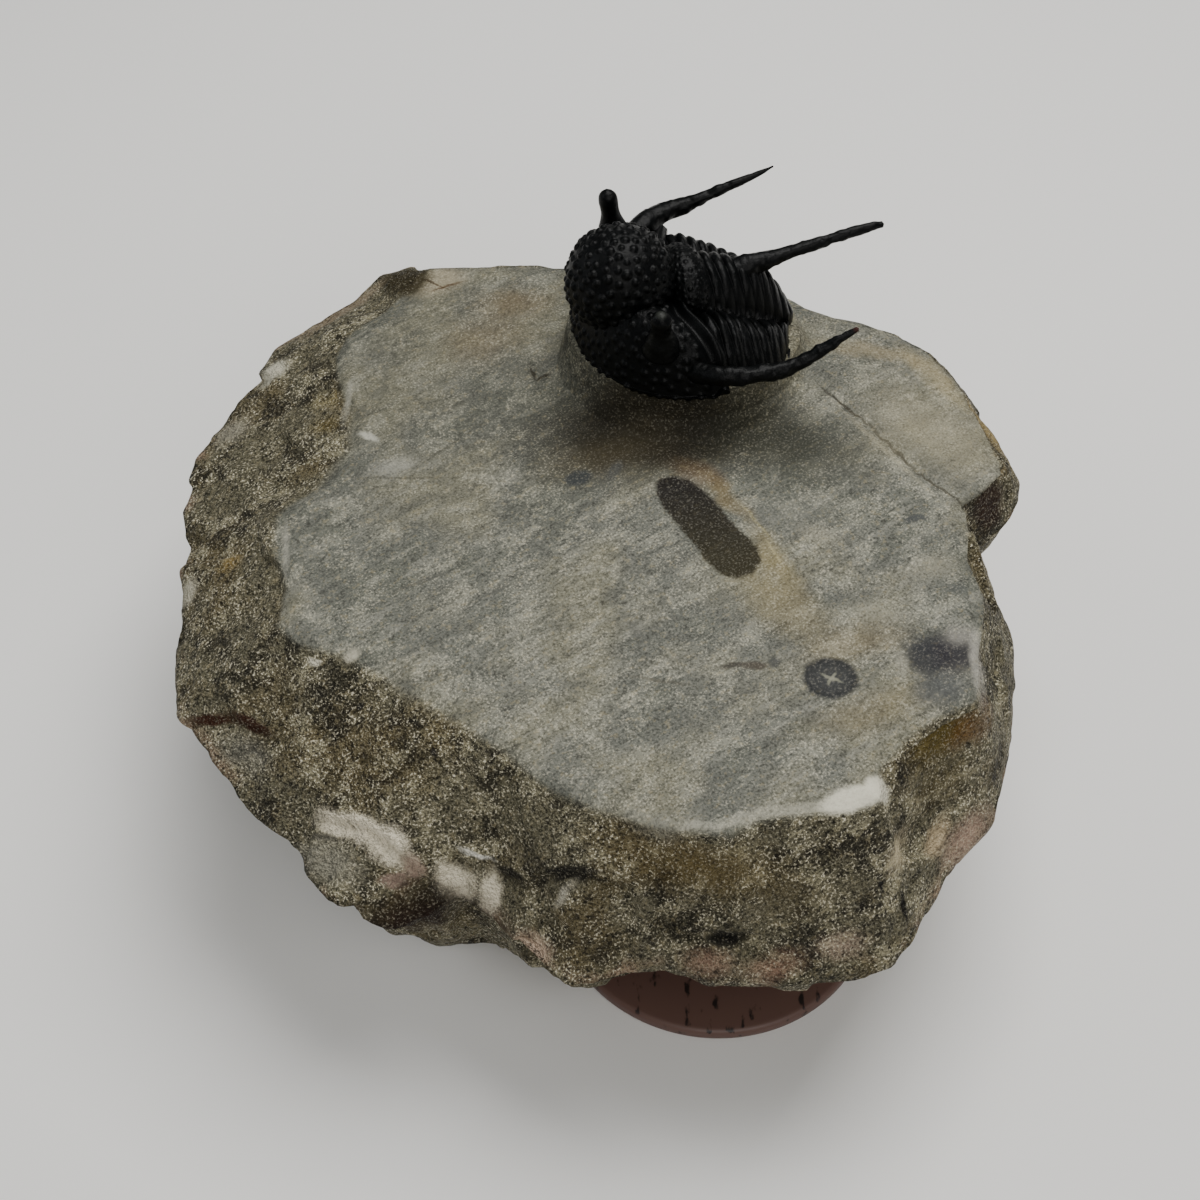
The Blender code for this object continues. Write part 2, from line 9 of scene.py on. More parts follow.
import bmesh
import bpy
import numpy as np
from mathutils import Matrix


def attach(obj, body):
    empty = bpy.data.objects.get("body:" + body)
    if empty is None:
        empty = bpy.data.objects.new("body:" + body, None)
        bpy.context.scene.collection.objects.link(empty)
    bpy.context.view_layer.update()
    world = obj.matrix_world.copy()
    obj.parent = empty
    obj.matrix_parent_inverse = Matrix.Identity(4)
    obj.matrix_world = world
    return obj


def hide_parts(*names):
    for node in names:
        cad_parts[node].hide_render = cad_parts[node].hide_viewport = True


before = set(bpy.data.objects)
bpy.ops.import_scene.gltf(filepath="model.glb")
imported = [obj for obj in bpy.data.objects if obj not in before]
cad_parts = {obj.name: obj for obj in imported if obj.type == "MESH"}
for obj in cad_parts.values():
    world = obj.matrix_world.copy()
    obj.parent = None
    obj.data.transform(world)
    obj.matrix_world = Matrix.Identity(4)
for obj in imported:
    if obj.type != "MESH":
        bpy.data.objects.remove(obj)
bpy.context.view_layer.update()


# The limestone block: a broken lump of grey crinoidal limestone. The preparer ground its top flat
# and smooth down to the bed that holds the fossil, and left its edges as the hammer broke them:
# dark, coarse and sparkling with calcite, with hollow flake scars and a step where a flake stopped.

MM = 0.001
WELD_DISTANCE = 1e-7
LATTICE_SIZE = 8192
LATTICE_PRIMES = (73856093, 19349663, 83492791)
LAYER_HEIGHT = 0.55
TOP_HEIGHT = 27.5
BLOCK_MIDDLE = np.array((-9.2, 15.7))
DISC_TOP = 1.2
BLOCK_BEARINGS = 640
TOP_RINGS = 52
SLOPE_RINGS = 46
FLANK_RINGS = 36
UNDER_RINGS = 14
SHOULDER_DROP = 0.3
SHOULDER_INSET = 0.6
SHOULDER_ROUNDING = 0.03
TOP_RING_POWER = 0.8
SLOPE_CURVE = 1.25

# Widest outline of the block: bearing in degrees, reach, and height below the ground top
RIM = (
    (0, 31.5, 9.0), (3, 30.0, 7.6), (5, 29.0, 6.4), (7, 31.4, 5.2), (10, 33.8, 4.0),
    (14, 34.8, 3.7), (19, 35.0, 3.3), (24, 34.5, 2.9), (29, 34.6, 2.6), (35, 35.2, 2.4),
    (38, 34.3, 2.4), (42, 34.4, 2.3), (46, 33.0, 2.3), (51, 31.6, 2.2), (58, 31.0, 2.1),
    (64, 31.6, 2.0), (72, 32.4, 2.0), (81, 32.4, 2.0), (89, 31.6, 2.0), (95, 31.3, 2.0),
    (100, 32.5, 2.0), (107, 32.5, 2.2), (113, 34.4, 2.3), (116, 36.9, 2.4), (121, 37.0, 2.5),
    (126, 36.1, 2.8), (133, 36.2, 3.2), (139, 36.3, 3.5), (143, 35.6, 3.8), (149, 35.2, 4.1),
    (154, 34.8, 4.4), (159, 35.1, 4.7), (165, 34.3, 5.0), (169, 34.0, 5.1), (174, 32.9, 5.2),
    (183, 32.0, 5.5), (191, 32.9, 5.9), (202, 33.9, 6.5), (207, 33.1, 7.0), (211, 32.9, 7.3),
    (218, 32.6, 8.0), (225, 31.9, 8.4), (231, 33.0, 8.7), (235, 33.6, 8.9), (240, 31.6, 9.2),
    (245, 29.0, 9.5), (250, 28.4, 9.7), (255, 29.2, 10.0), (261, 31.4, 10.2), (266, 33.3, 10.4),
    (269, 33.1, 10.5), (273, 32.2, 10.6), (278, 32.1, 10.7), (284, 33.9, 10.8), (290, 34.9, 10.9),
    (296, 36.2, 11.0), (303, 37.5, 10.8), (307, 36.8, 10.8), (310, 35.9, 10.7), (318, 34.7, 10.5),
    (326, 35.1, 10.2), (333, 34.1, 9.9), (341, 33.2, 9.6), (350, 32.8, 9.3), (355, 32.5, 9.1),
)
# Edge of the ground top: bearing, reach
SHOULDER = (
    (3, 28.1), (6, 28.3), (11, 32.0), (17, 32.3), (24, 32.6), (30, 33.4), (38, 33.6), (46, 32.3),
    (58, 30.4), (72, 31.8), (81, 31.8), (95, 30.7), (107, 31.9), (116, 34.0), (120, 32.0),
    (126, 30.7), (134, 30.1), (138, 29.0), (142, 26.8), (147, 23.5), (156, 21.2), (167, 21.9),
    (176, 24.6), (182, 24.5), (193, 23.8), (201, 25.1), (206, 24.4), (213, 21.6), (221, 20.6),
    (233, 20.1), (243, 20.4), (252, 21.3), (262, 23.8), (271, 25.5), (279, 27.2), (288, 28.8),
    (292, 27.9), (298, 28.9), (304, 30.5), (308, 31.2), (311, 29.3), (318, 28.8), (324, 29.6),
    (329, 31.2), (336, 30.0), (347, 29.1), (354, 27.8),
)
# Profile of the flank from rim to foot: how far in and how far down
FLANK_LINE = ((0.0, 0.0), (0.12, 0.14), (0.28, 0.38), (0.52, 0.68), (0.82, 0.92), (1.0, 1.0))
FOOT_REACH = 20.5
FOOT_WANDER = 0.9
# The lump of the underside that shows below the front-left edge
LUMP_BEARING = 243.5
LUMP_WIDTH = 5.0
LUMP_REACH = 3.6
LUMP_PROFILE = ((0.0, 0.12, 0.45, 0.8), (0.0, 1.0, 0.9, 0.0))
RECESS_INNER = 15.5
RECESS_OUTER = 22.0
DISC_GAP = 0.05


def by_bearing(table, column, bearings):
    """A column of a bearing table at the given bearings, in straight steps round the circle."""
    table = np.array(table, dtype=float)
    return np.interp(bearings, table[:, 0], table[:, column], period=360.0)


def rough(points, size, seed):
    """Smooth random values from about -1 to 1 that change over a distance of size.

    Random numbers stand on a cubic lattice, and 3t^2 - 2t^3 blends between its eight corners.
    """
    table = np.random.default_rng(seed).uniform(-1.0, 1.0, LATTICE_SIZE)
    scaled = np.asarray(points) / size
    cell = np.floor(scaled).astype(np.int64)
    part = scaled - cell
    ease = part * part * (3.0 - 2.0 * part)
    total = np.zeros(scaled.shape[:-1])
    for corner in np.ndindex(2, 2, 2):
        key = (cell + corner) @ np.array(LATTICE_PRIMES)
        weight = np.prod(np.where(corner, ease, 1.0 - ease), axis=-1)
        total += table[key % LATTICE_SIZE] * weight
    return total


def fractal(points, size, layers, seed):
    """Sum of layers of rough values, each half the size and about half the height of the last."""
    total = np.zeros(np.asarray(points).shape[:-1])
    for layer in range(layers):
        total += rough(points, size / 2 ** layer, seed + layer) * LAYER_HEIGHT ** layer
    return total


def uneven(points, waves):
    """Relief summed from waves, each given as height, size, layers and seed."""
    return sum(height * fractal(points, *wave) for height, *wave in waves)


def hump(values, middle, width):
    """Bell curve exp(-((value - middle) / width)^2)."""
    return np.exp(-(((values - middle) / width) ** 2))


def along_knots(table, part):
    """Each column of a table at a part of its length, in straight steps from row to row."""
    knot = part * (len(table) - 1)
    return [np.interp(knot, np.arange(len(table)), column) for column in np.array(table).T]


def grid_normals(rings):
    """Outward directions of a grid of closed rings: the cross product of its two tangents."""
    round_way = np.roll(rings, -1, axis=1) - np.roll(rings, 1, axis=1)
    down_way = np.gradient(rings, axis=0)
    across = np.cross(down_way, round_way)
    length = np.linalg.norm(across, axis=-1, keepdims=True)
    return across / np.maximum(length, 1e-9)


def mesh_piece(name, points, faces, weld=False):
    """Smooth closed piece from points in millimetres, with points that coincide joined by weld."""
    mesh = bpy.data.meshes.new(name)
    mesh.from_pydata((points * MM).tolist(), [], faces)
    work = bmesh.new()
    work.from_mesh(mesh)
    if weld:
        bmesh.ops.remove_doubles(work, verts=work.verts, dist=WELD_DISTANCE)
    bmesh.ops.recalc_face_normals(work, faces=work.faces)
    work.to_mesh(mesh)
    work.free()
    mesh.shade_smooth()
    piece = bpy.data.objects.new(name, mesh)
    bpy.context.scene.collection.objects.link(piece)
    return piece


def ring_piece(name, rings, *poles):
    """Closed piece from stacked rings, with a pole at either end, else at the end rings' middles.

    Quads join each ring to the next, and a fan of triangles closes each end.
    """
    first_pole, last_pole = poles or (rings[0].mean(axis=0), rings[-1].mean(axis=0))
    count, size = rings.shape[:2]
    points = np.vstack([[first_pole], rings.reshape(-1, 3), [last_pole]])
    side = np.arange(size)
    other = (side + 1) % size
    start = 1 + np.arange(count - 1)[:, None] * size
    quads = np.stack([start + side, start + other, start + size + other, start + size + side], -1)
    last_ring = 1 + (count - 1) * size
    first_fan = np.stack([np.zeros_like(side), 1 + other, 1 + side], -1)
    last_fan = np.stack([np.full_like(side, len(points) - 1), last_ring + side, last_ring + other], -1)
    faces = quads.reshape(-1, 4).tolist() + first_fan.tolist() + last_fan.tolist()
    return mesh_piece(name, points, faces)


def set_values(piece, name, values):
    """Store one number for each point of a piece, for its material to read."""
    attribute = piece.data.attributes.new(name, "FLOAT", "POINT")
    attribute.data.foreach_set("value", np.asarray(values, dtype=np.float32).ravel())


def underside_height(x, y):
    """Height of the block's underside: on the disc in front, on the surface behind."""
    on_disc = DISC_TOP + DISC_GAP
    step = np.clip((np.hypot(x, y) - RECESS_INNER) / (RECESS_OUTER - RECESS_INNER), 0.0, 1.0)
    return on_disc * (1.0 - step * step * (3.0 - 2.0 * step))


def scar_depth(points, chance, count, reaches, radii, depths, falls):
    """Deepest of several round flake scars at each point: depth * (1 - distance^2 / radius^2)."""
    dent = np.zeros(points.shape[:-1])
    for _ in range(count):
        bearing = math.radians(chance.uniform(0, 360))
        reach = chance.uniform(*reaches)
        centre = np.array([
            BLOCK_MIDDLE[0] + reach * math.cos(bearing),
            BLOCK_MIDDLE[1] + reach * math.sin(bearing),
            TOP_HEIGHT - chance.uniform(*falls),
        ])
        radius = chance.uniform(*radii)
        depth = chance.uniform(*depths)
        squared = ((points - centre) ** 2).sum(axis=-1)
        dent = np.maximum(dent, depth * (1.0 - squared / radius ** 2))
    return dent


def block_rings():
    """Rings of the block from its top middle, over shoulder, rim and foot, to its underside's middle.

    Each ring is a polar curve about the block's middle. Returns the points and how far each ring is
    down the slope (0 on the ground top, 1 at the rim, over 1 on the flank and 3 beneath).
    """
    bearings = (np.arange(BLOCK_BEARINGS) + 0.5) * 360.0 / BLOCK_BEARINGS
    angle = np.radians(bearings)
    rim = by_bearing(RIM, 1, bearings)
    rim_height = TOP_HEIGHT - by_bearing(RIM, 2, bearings)
    shoulder = np.minimum(by_bearing(SHOULDER, 1, bearings), rim - SHOULDER_INSET)
    foot = FOOT_REACH + FOOT_WANDER * (np.sin(3 * angle + 1.0) + 0.5 * np.sin(7 * angle))
    lump = hump(bearings, LUMP_BEARING, LUMP_WIDTH)
    around = np.stack([np.cos(angle), np.sin(angle)], axis=-1)

    def ring(reach, height):
        plan = BLOCK_MIDDLE + np.broadcast_to(reach, angle.shape)[:, None] * around
        return np.concatenate([plan, np.broadcast_to(height, angle.shape)[:, None]], axis=-1)

    rings = []
    place = []
    for part in np.linspace(0.02, 1.0, TOP_RINGS) ** TOP_RING_POWER:
        drop = SHOULDER_DROP * max(0.0, part - 1.0 + SHOULDER_ROUNDING) / SHOULDER_ROUNDING
        rings.append(ring(shoulder * part, TOP_HEIGHT - drop))
        place.append(0.0)
    shoulder_height = TOP_HEIGHT - SHOULDER_DROP
    for part in np.linspace(0.0, 1.0, SLOPE_RINGS + 1)[1:]:
        height = shoulder_height + (rim_height - shoulder_height) * part ** SLOPE_CURVE
        rings.append(ring(shoulder + (rim - shoulder) * part, height))
        place.append(part)
    plan_foot = ring(foot, 0.0)
    foot_height = underside_height(plan_foot[:, 0], plan_foot[:, 1])
    for part in np.linspace(0.0, 1.0, FLANK_RINGS + 1)[1:]:
        inward, downward = along_knots(FLANK_LINE, part)
        swell = LUMP_REACH * np.interp(part, *LUMP_PROFILE)
        reach = rim + (foot - rim) * inward + swell * lump
        rings.append(ring(reach, rim_height + (foot_height - rim_height) * downward))
        place.append(1.0 + part)
    for part in np.linspace(1.0, 0.04, UNDER_RINGS + 1)[1:]:
        inner = ring(foot * part, 0.0)
        inner[:, 2] = underside_height(inner[:, 0], inner[:, 1])
        rings.append(inner)
        place.append(3.0)
    return np.array(rings), np.array(place)


# Steps where one flake stopped and the next began, as (bearing, reach) knots: the surface outside
# the line lies lower by a depth, and comes back to level over a fall
FLAKE_STEPS = (
    (
        ((246, 26.6), (249, 26.7), (253, 26.8), (258, 27.8), (264, 28.0), (269, 28.4), (275, 28.9)),
        0.6, 2.4,
    ),
    (((203, 33.6), (204, 33.4), (207, 30.6), (213, 28.8), (216, 28.2)), 0.5, 2.0),
    (((226, 30.0), (229, 29.4), (234, 28.8), (239, 28.5), (243, 28.4), (246, 28.0)), 0.7, 2.2),
    (((280, 31.4), (283, 31.8), (288, 32.7), (291, 33.2)), 0.9, 0.7),
    (((139, 29.2), (146, 26.6), (153, 24.6)), 0.3, 1.5),
)
STEP_SHARPNESS = 0.25
STEP_END = 1.5
# Cracks, as (x, y, z) knots
CRACKS = (
    ((8.7, 31.5, 27.5), (12.3, 26.9, 27.5), (15.4, 22.0, 27.5), (19.0, 18.3, 27.2)),
    ((-14.9, 33.8, 27.5), (-14.3, 32.3, 27.5), (-13.4, 33.0, 27.5)),
    ((13.1, -10.6, 19.7), (12.1, -12.6, 19.5), (11.2, -14.8, 17.8)),
    ((10.6, -12.6, 21.5), (10.0, -12.2, 22.3)),
    ((13.4, -6.5, 22.5), (14.6, -8.5, 20.5)),
)
CRACK_WIDTH = 0.3
CRACK_DEPTH = 0.3
FACET_COUNT = 230
FACET_OFFSET = 0.22
FACET_TILT = 0.11
FACET_BLEND = 0.9
# Flake scars and chips, as count and the ranges of reach, radius, depth and fall below the top
SLOPE_SCARS = (22, (26.0, 35.0), (2.4, 4.6), (0.35, 0.8), (0.5, 8.0))
FLANK_SCARS = (26, (26.0, 35.0), (4.5, 9.5), (0.9, 2.3), (6.0, 24.0))
CHIPS = (160, (22.0, 37.0), (0.8, 2.2), (0.06, 0.16), (0.5, 14.0))
SLOPE_SCAR_SHARE = 0.6
# Waves of relief, as height, size, layers and seed
BROKEN_WAVES = ((0.14, 2.4, 3, 21), (0.05, 0.75, 2, 31))
GROUND_WAVES = ((0.14, 9.0, 1, 41), (0.05, 2.2, 2, 43))
# Full breakage comes 1 / 14 of the way down the slope, and its faces take their finish a bit lower
BREAK_STEEPNESS = 14.0
BROKEN_FINISH_FROM = 0.12
RIM_BAND = 0.06
BLOCK_SEED = 11


def facet_lift(points, seeds, chance):
    """Relief of a hackly break: each point takes the tilted plane of its nearest seed.

    Height = offset + (point - seed) . tilt, blended over a short way where two planes meet by
    weights exp(-(squared distance - least squared distance) / FACET_BLEND).
    """
    offsets = chance.uniform(-FACET_OFFSET, FACET_OFFSET, len(seeds))
    tilts = chance.uniform(-FACET_TILT, FACET_TILT, (len(seeds), 3))
    lift = np.empty(points.shape[:-1])
    for number, ring in enumerate(points):
        away = ring[:, None] - seeds
        squared = (away ** 2).sum(axis=-1)
        weight = np.exp(-(squared - squared.min(axis=1, keepdims=True)) / FACET_BLEND)
        plane = offsets + (away * tilts).sum(axis=-1)
        lift[number] = (weight * plane).sum(axis=1) / weight.sum(axis=1)
    return lift


def step_lift(points, knots, depth, fall):
    """Drop outside a line round the block: -depth * exp(-way beyond / fall), less at its ends."""
    plan = points[..., :2] - BLOCK_MIDDLE
    bearing = np.degrees(np.arctan2(plan[..., 1], plan[..., 0])) % 360
    line = np.array(knots)
    beyond = np.hypot(plan[..., 0], plan[..., 1]) - np.interp(bearing, line[:, 0], line[:, 1])
    edge = np.clip(beyond / STEP_SHARPNESS, 0.0, 1.0)
    to_end = np.minimum(bearing - line[0, 0], line[-1, 0] - bearing)
    ends = np.clip(to_end / STEP_END, 0.0, 1.0)
    return -depth * edge * np.exp(-np.maximum(beyond, 0.0) / fall) * ends


def line_distance(points, line):
    """Distance from each point to a line through a few (x, y, z) knots."""
    nearest = np.full(points.shape[:-1], 1e9)
    for start, end in zip(line[:-1], line[1:]):
        start = np.array(start)
        along = np.array(end) - start
        offset = points - start
        part = np.clip(offset @ along / (along @ along), 0.0, 1.0)
        gap = offset - part[..., None] * along
        nearest = np.minimum(nearest, np.linalg.norm(gap, axis=-1))
    return nearest


block, block_place = block_rings()
chance = np.random.default_rng(BLOCK_SEED)
on_slope = (block_place > 0.0) & (block_place <= 1.0)
on_flank = (block_place > 1.0) & (block_place < 2.0)
outward = block[..., :2] - BLOCK_MIDDLE
outward = outward / np.linalg.norm(outward, axis=-1, keepdims=True)
slope_dent = scar_depth(block, chance, *SLOPE_SCARS)
flank_dent = scar_depth(block, chance, *FLANK_SCARS)
block[..., 2] -= SLOPE_SCAR_SHARE * slope_dent * on_slope[:, None]
block[..., :2] -= outward * (flank_dent * on_flank[:, None])[..., None]

full_ring = np.ones(BLOCK_BEARINGS)
break_rows = np.clip(block_place * BREAK_STEEPNESS, 0.0, 1.0)[:, None] * full_ring
above_foot = (block_place < 2.5)[:, None]
seeds = block[(block_place > 0.0) & (block_place < 2.0)].reshape(-1, 3)
seeds = seeds[chance.choice(len(seeds), FACET_COUNT, replace=False)]
chips = scar_depth(block, chance, *CHIPS)
relief = facet_lift(block, seeds, chance) - chips + uneven(block, BROKEN_WAVES)
for knots, depth, fall in FLAKE_STEPS:
    relief += step_lift(block, knots, depth, fall)
broken = break_rows * above_foot
lift = broken * relief + (1.0 - broken) * uneven(block, GROUND_WAVES) * above_foot
for crack in CRACKS:
    lift -= CRACK_DEPTH * hump(line_distance(block, crack), 0.0, CRACK_WIDTH)
block += grid_normals(block) * lift[..., None]
block[..., 2] = np.maximum(block[..., 2], 0.0)

limestone_block = ring_piece(
    "ground_limestone_block", block, (*BLOCK_MIDDLE, block[0, :, 2].mean()),
    (*BLOCK_MIDDLE, block[-1, :, 2].mean()),
)
rim_rows = hump(block_place, 1.0, RIM_BAND)[:, None] * full_ring

# Outline of the bean-shaped stain on the ground top
STAIN_OUTLINE = np.array((
    (-4.9, 20.6), (-4.3, 21.2), (-3.4, 21.3), (-2.3, 20.9), (-1.4, 20.1), (-0.7, 19.2), (-0.1, 18.3),
    (0.5, 17.2), (1.2, 16.0), (2.2, 14.8), (2.9, 13.6), (2.9, 12.3), (2.2, 11.2), (1.2, 10.7),
    (0.2, 10.9), (-0.6, 11.5), (-1.3, 12.6), (-2.0, 13.9), (-2.8, 15.2), (-3.7, 16.6), (-4.5, 18.2),
    (-4.9, 19.5),
))
NO_STAIN = -6.0


def outline_depth(points, outline):
    """Depth inside a closed outline in plan, in millimetres, and minus the distance outside it.

    A point is inside when a line from it to the right crosses the outline an odd number of times.
    """
    plan = points[..., :2]
    closed = np.vstack([outline, outline[:1]])
    inside = np.zeros(plan.shape[:-1], dtype=bool)
    for start, end in zip(closed[:-1], closed[1:]):
        run, rise = end - start
        between = (start[1] > plan[..., 1]) != (end[1] > plan[..., 1])
        crossing = start[0] + (plan[..., 1] - start[1]) / (rise + 1e-9) * run
        inside ^= between & (plan[..., 0] < crossing)
    nearest = line_distance(plan, closed)
    return np.where(inside, nearest, -nearest)


stain_rows = np.maximum(outline_depth(block, STAIN_OUTLINE), NO_STAIN)
stain_rows = np.where((block_place < 1.0)[:, None], stain_rows, NO_STAIN)
for name, rows in (("ground", 1.0 - break_rows), ("rim", rim_rows), ("stain", stain_rows)):
    set_values(limestone_block, name, np.concatenate([rows[0, :1], rows.ravel(), rows[-1, :1]]))


def feed(tree, node, inputs):
    """Give each input of a node a fixed value or another node's output."""
    for name, value in inputs.items():
        if isinstance(value, bpy.types.NodeSocket):
            tree.links.new(value, node.inputs[name])
        else:
            node.inputs[name].default_value = value


def add_node(tree, kind, inputs, output=0, **settings):
    """Add a node with its settings and inputs, and return one of its outputs."""
    node = tree.nodes.new(kind)
    for name, value in settings.items():
        setattr(node, name, value)
    feed(tree, node, inputs)
    return node.outputs[output]


def add_noise(tree, place, size, detail, roughness=0.5, output="Fac"):
    """Noise with lumps about as wide as size, in millimetres."""
    inputs = {"Vector": place, "Scale": 1000 / size, "Detail": detail, "Roughness": roughness}
    return add_node(tree, "ShaderNodeTexNoise", inputs, output)


def add_mask(tree, value, start, full, low=0.0, high=1.0, blend="LINEAR"):
    """Number that goes from low to high as a value goes from start to full."""
    inputs = {"Value": value, "From Min": start, "From Max": full, "To Min": low, "To Max": high}
    return add_node(tree, "ShaderNodeMapRange", inputs, interpolation_type=blend)


def add_spot(tree, place, middle, half, turn, start, full, strength, blend="LINEAR"):
    """Mask of an ellipsoid: nothing at start and strength at full, counted in its half sizes."""
    inputs = {
        "Vector": place,
        "Location": [value * MM for value in middle],
        "Rotation": (0.0, 0.0, math.radians(turn)),
        "Scale": [value * MM for value in half],
    }
    local = add_node(tree, "ShaderNodeMapping", inputs, vector_type="TEXTURE")
    away = add_node(tree, "ShaderNodeVectorMath", {0: local}, "Value", operation="LENGTH")
    return add_mask(tree, away, start, full, 0.0, strength, blend)


def add_math(tree, operation, *values):
    """Result of one operation on two or three values."""
    return add_node(tree, "ShaderNodeMath", dict(enumerate(values)), operation=operation)


def mix_colours(tree, amount, under, over):
    """Colour that goes from under to over as amount goes from 0 to 1."""
    return add_node(tree, "ShaderNodeMix", {0: amount, 6: under, 7: over}, 2, data_type="RGBA")


def linear(code):
    """Linear colour of an sRGB hex code: x / 12.92 when dark, else ((x + 0.055) / 1.055) ^ 2.4."""
    parts = np.array([int(code[place:place + 2], 16) for place in (1, 3, 5)]) / 255.0
    values = np.where(parts <= 0.04045, parts / 12.92, ((parts + 0.055) / 1.055) ** 2.4)
    return (*values.tolist(), 1.0)


def add_ramp(tree, value, ends):
    """Colour of a value on a ramp between two ends, each a position and a hex colour."""
    ramp = tree.nodes.new("ShaderNodeValToRGB")
    feed(tree, ramp, {"Fac": value})
    for element, (position, code) in zip(ramp.color_ramp.elements, ends):
        element.position = position
        element.color = linear(code)
    return ramp.outputs["Color"]


def new_material(name):
    """New material, with its node tree, its shader and the place on the object."""
    material = bpy.data.materials.new(name)
    material.use_nodes = True
    tree = material.node_tree
    place = add_node(tree, "ShaderNodeTexCoord", {}, "Object")
    return material, tree, tree.nodes["Principled BSDF"], place


# Crinoidal limestone is fine grey lime mud full of calcite grains. Ground, it is matt and mottled
# with clouds and streaks; broken, each grain shows, dark or pale, and iron has stained it ochre.
# Patterns: size in millimetres, detail, roughness, and stretch along the bed's streaks
PATTERNS = {
    "cloud": (9.0, 2.0, 0.55, 1.3),
    "mottle": (2.0, 3.0, 0.65, 1.3),
    "streak": (0.9, 2.0, 0.6, 3.6),
    "fleck": (0.5, 2.0, 0.7, 1.2),
    "grain": (0.18, 1.0, 0.7, 1.0),
    "patch": (3.4, 2.0, 0.6, 1.0),
}
STREAK_TURN = math.radians(38)
# Broad layers, as pattern, where it starts, where it is full, amount and colour
GROUND_BASE = "#686961"
GROUND_LAYERS = (
    ("cloud", 0.46, 0.60, 0.7, "#7d7a66"),
    ("cloud", 0.50, 0.38, 0.6, "#5d5f54"),
    ("mottle", 0.51, 0.66, 0.7, "#908f80"),
    ("mottle", 0.47, 0.35, 0.42, "#52534d"),
    ("streak", 0.45, 0.34, 0.42, "#4f504a"),
    ("streak", 0.56, 0.70, 0.45, "#8f8e82"),
)
BROKEN_BASE = "#625e4b"
BROKEN_LAYERS = (
    ("cloud", 0.50, 0.62, 0.5, "#5c4e2c"),
    ("patch", 0.50, 0.38, 0.8, "#262318"),
    ("mottle", 0.53, 0.66, 0.75, "#9a9479"),
)
# Fine layers, as pattern, start, full, amount on the ground top and on the breaks, and colour. The
# last layer is pale calcite grains with painted glints on them, and it gathers in clusters.
GRAIN_AND_PAINTED_GLINT = "#e6dec4"
FINE_LAYERS = (
    ("fleck", 0.46, 0.34, 0.38, 0.75, "#15130c"),
    ("fleck", 0.56, 0.70, 0.38, 0.45, "#978c6c"),
    ("grain", 0.45, 0.35, 0.42, 0.65, "#100e09"),
    ("grain", 0.57, 0.67, 0.30, 0.75, GRAIN_AND_PAINTED_GLINT),
)
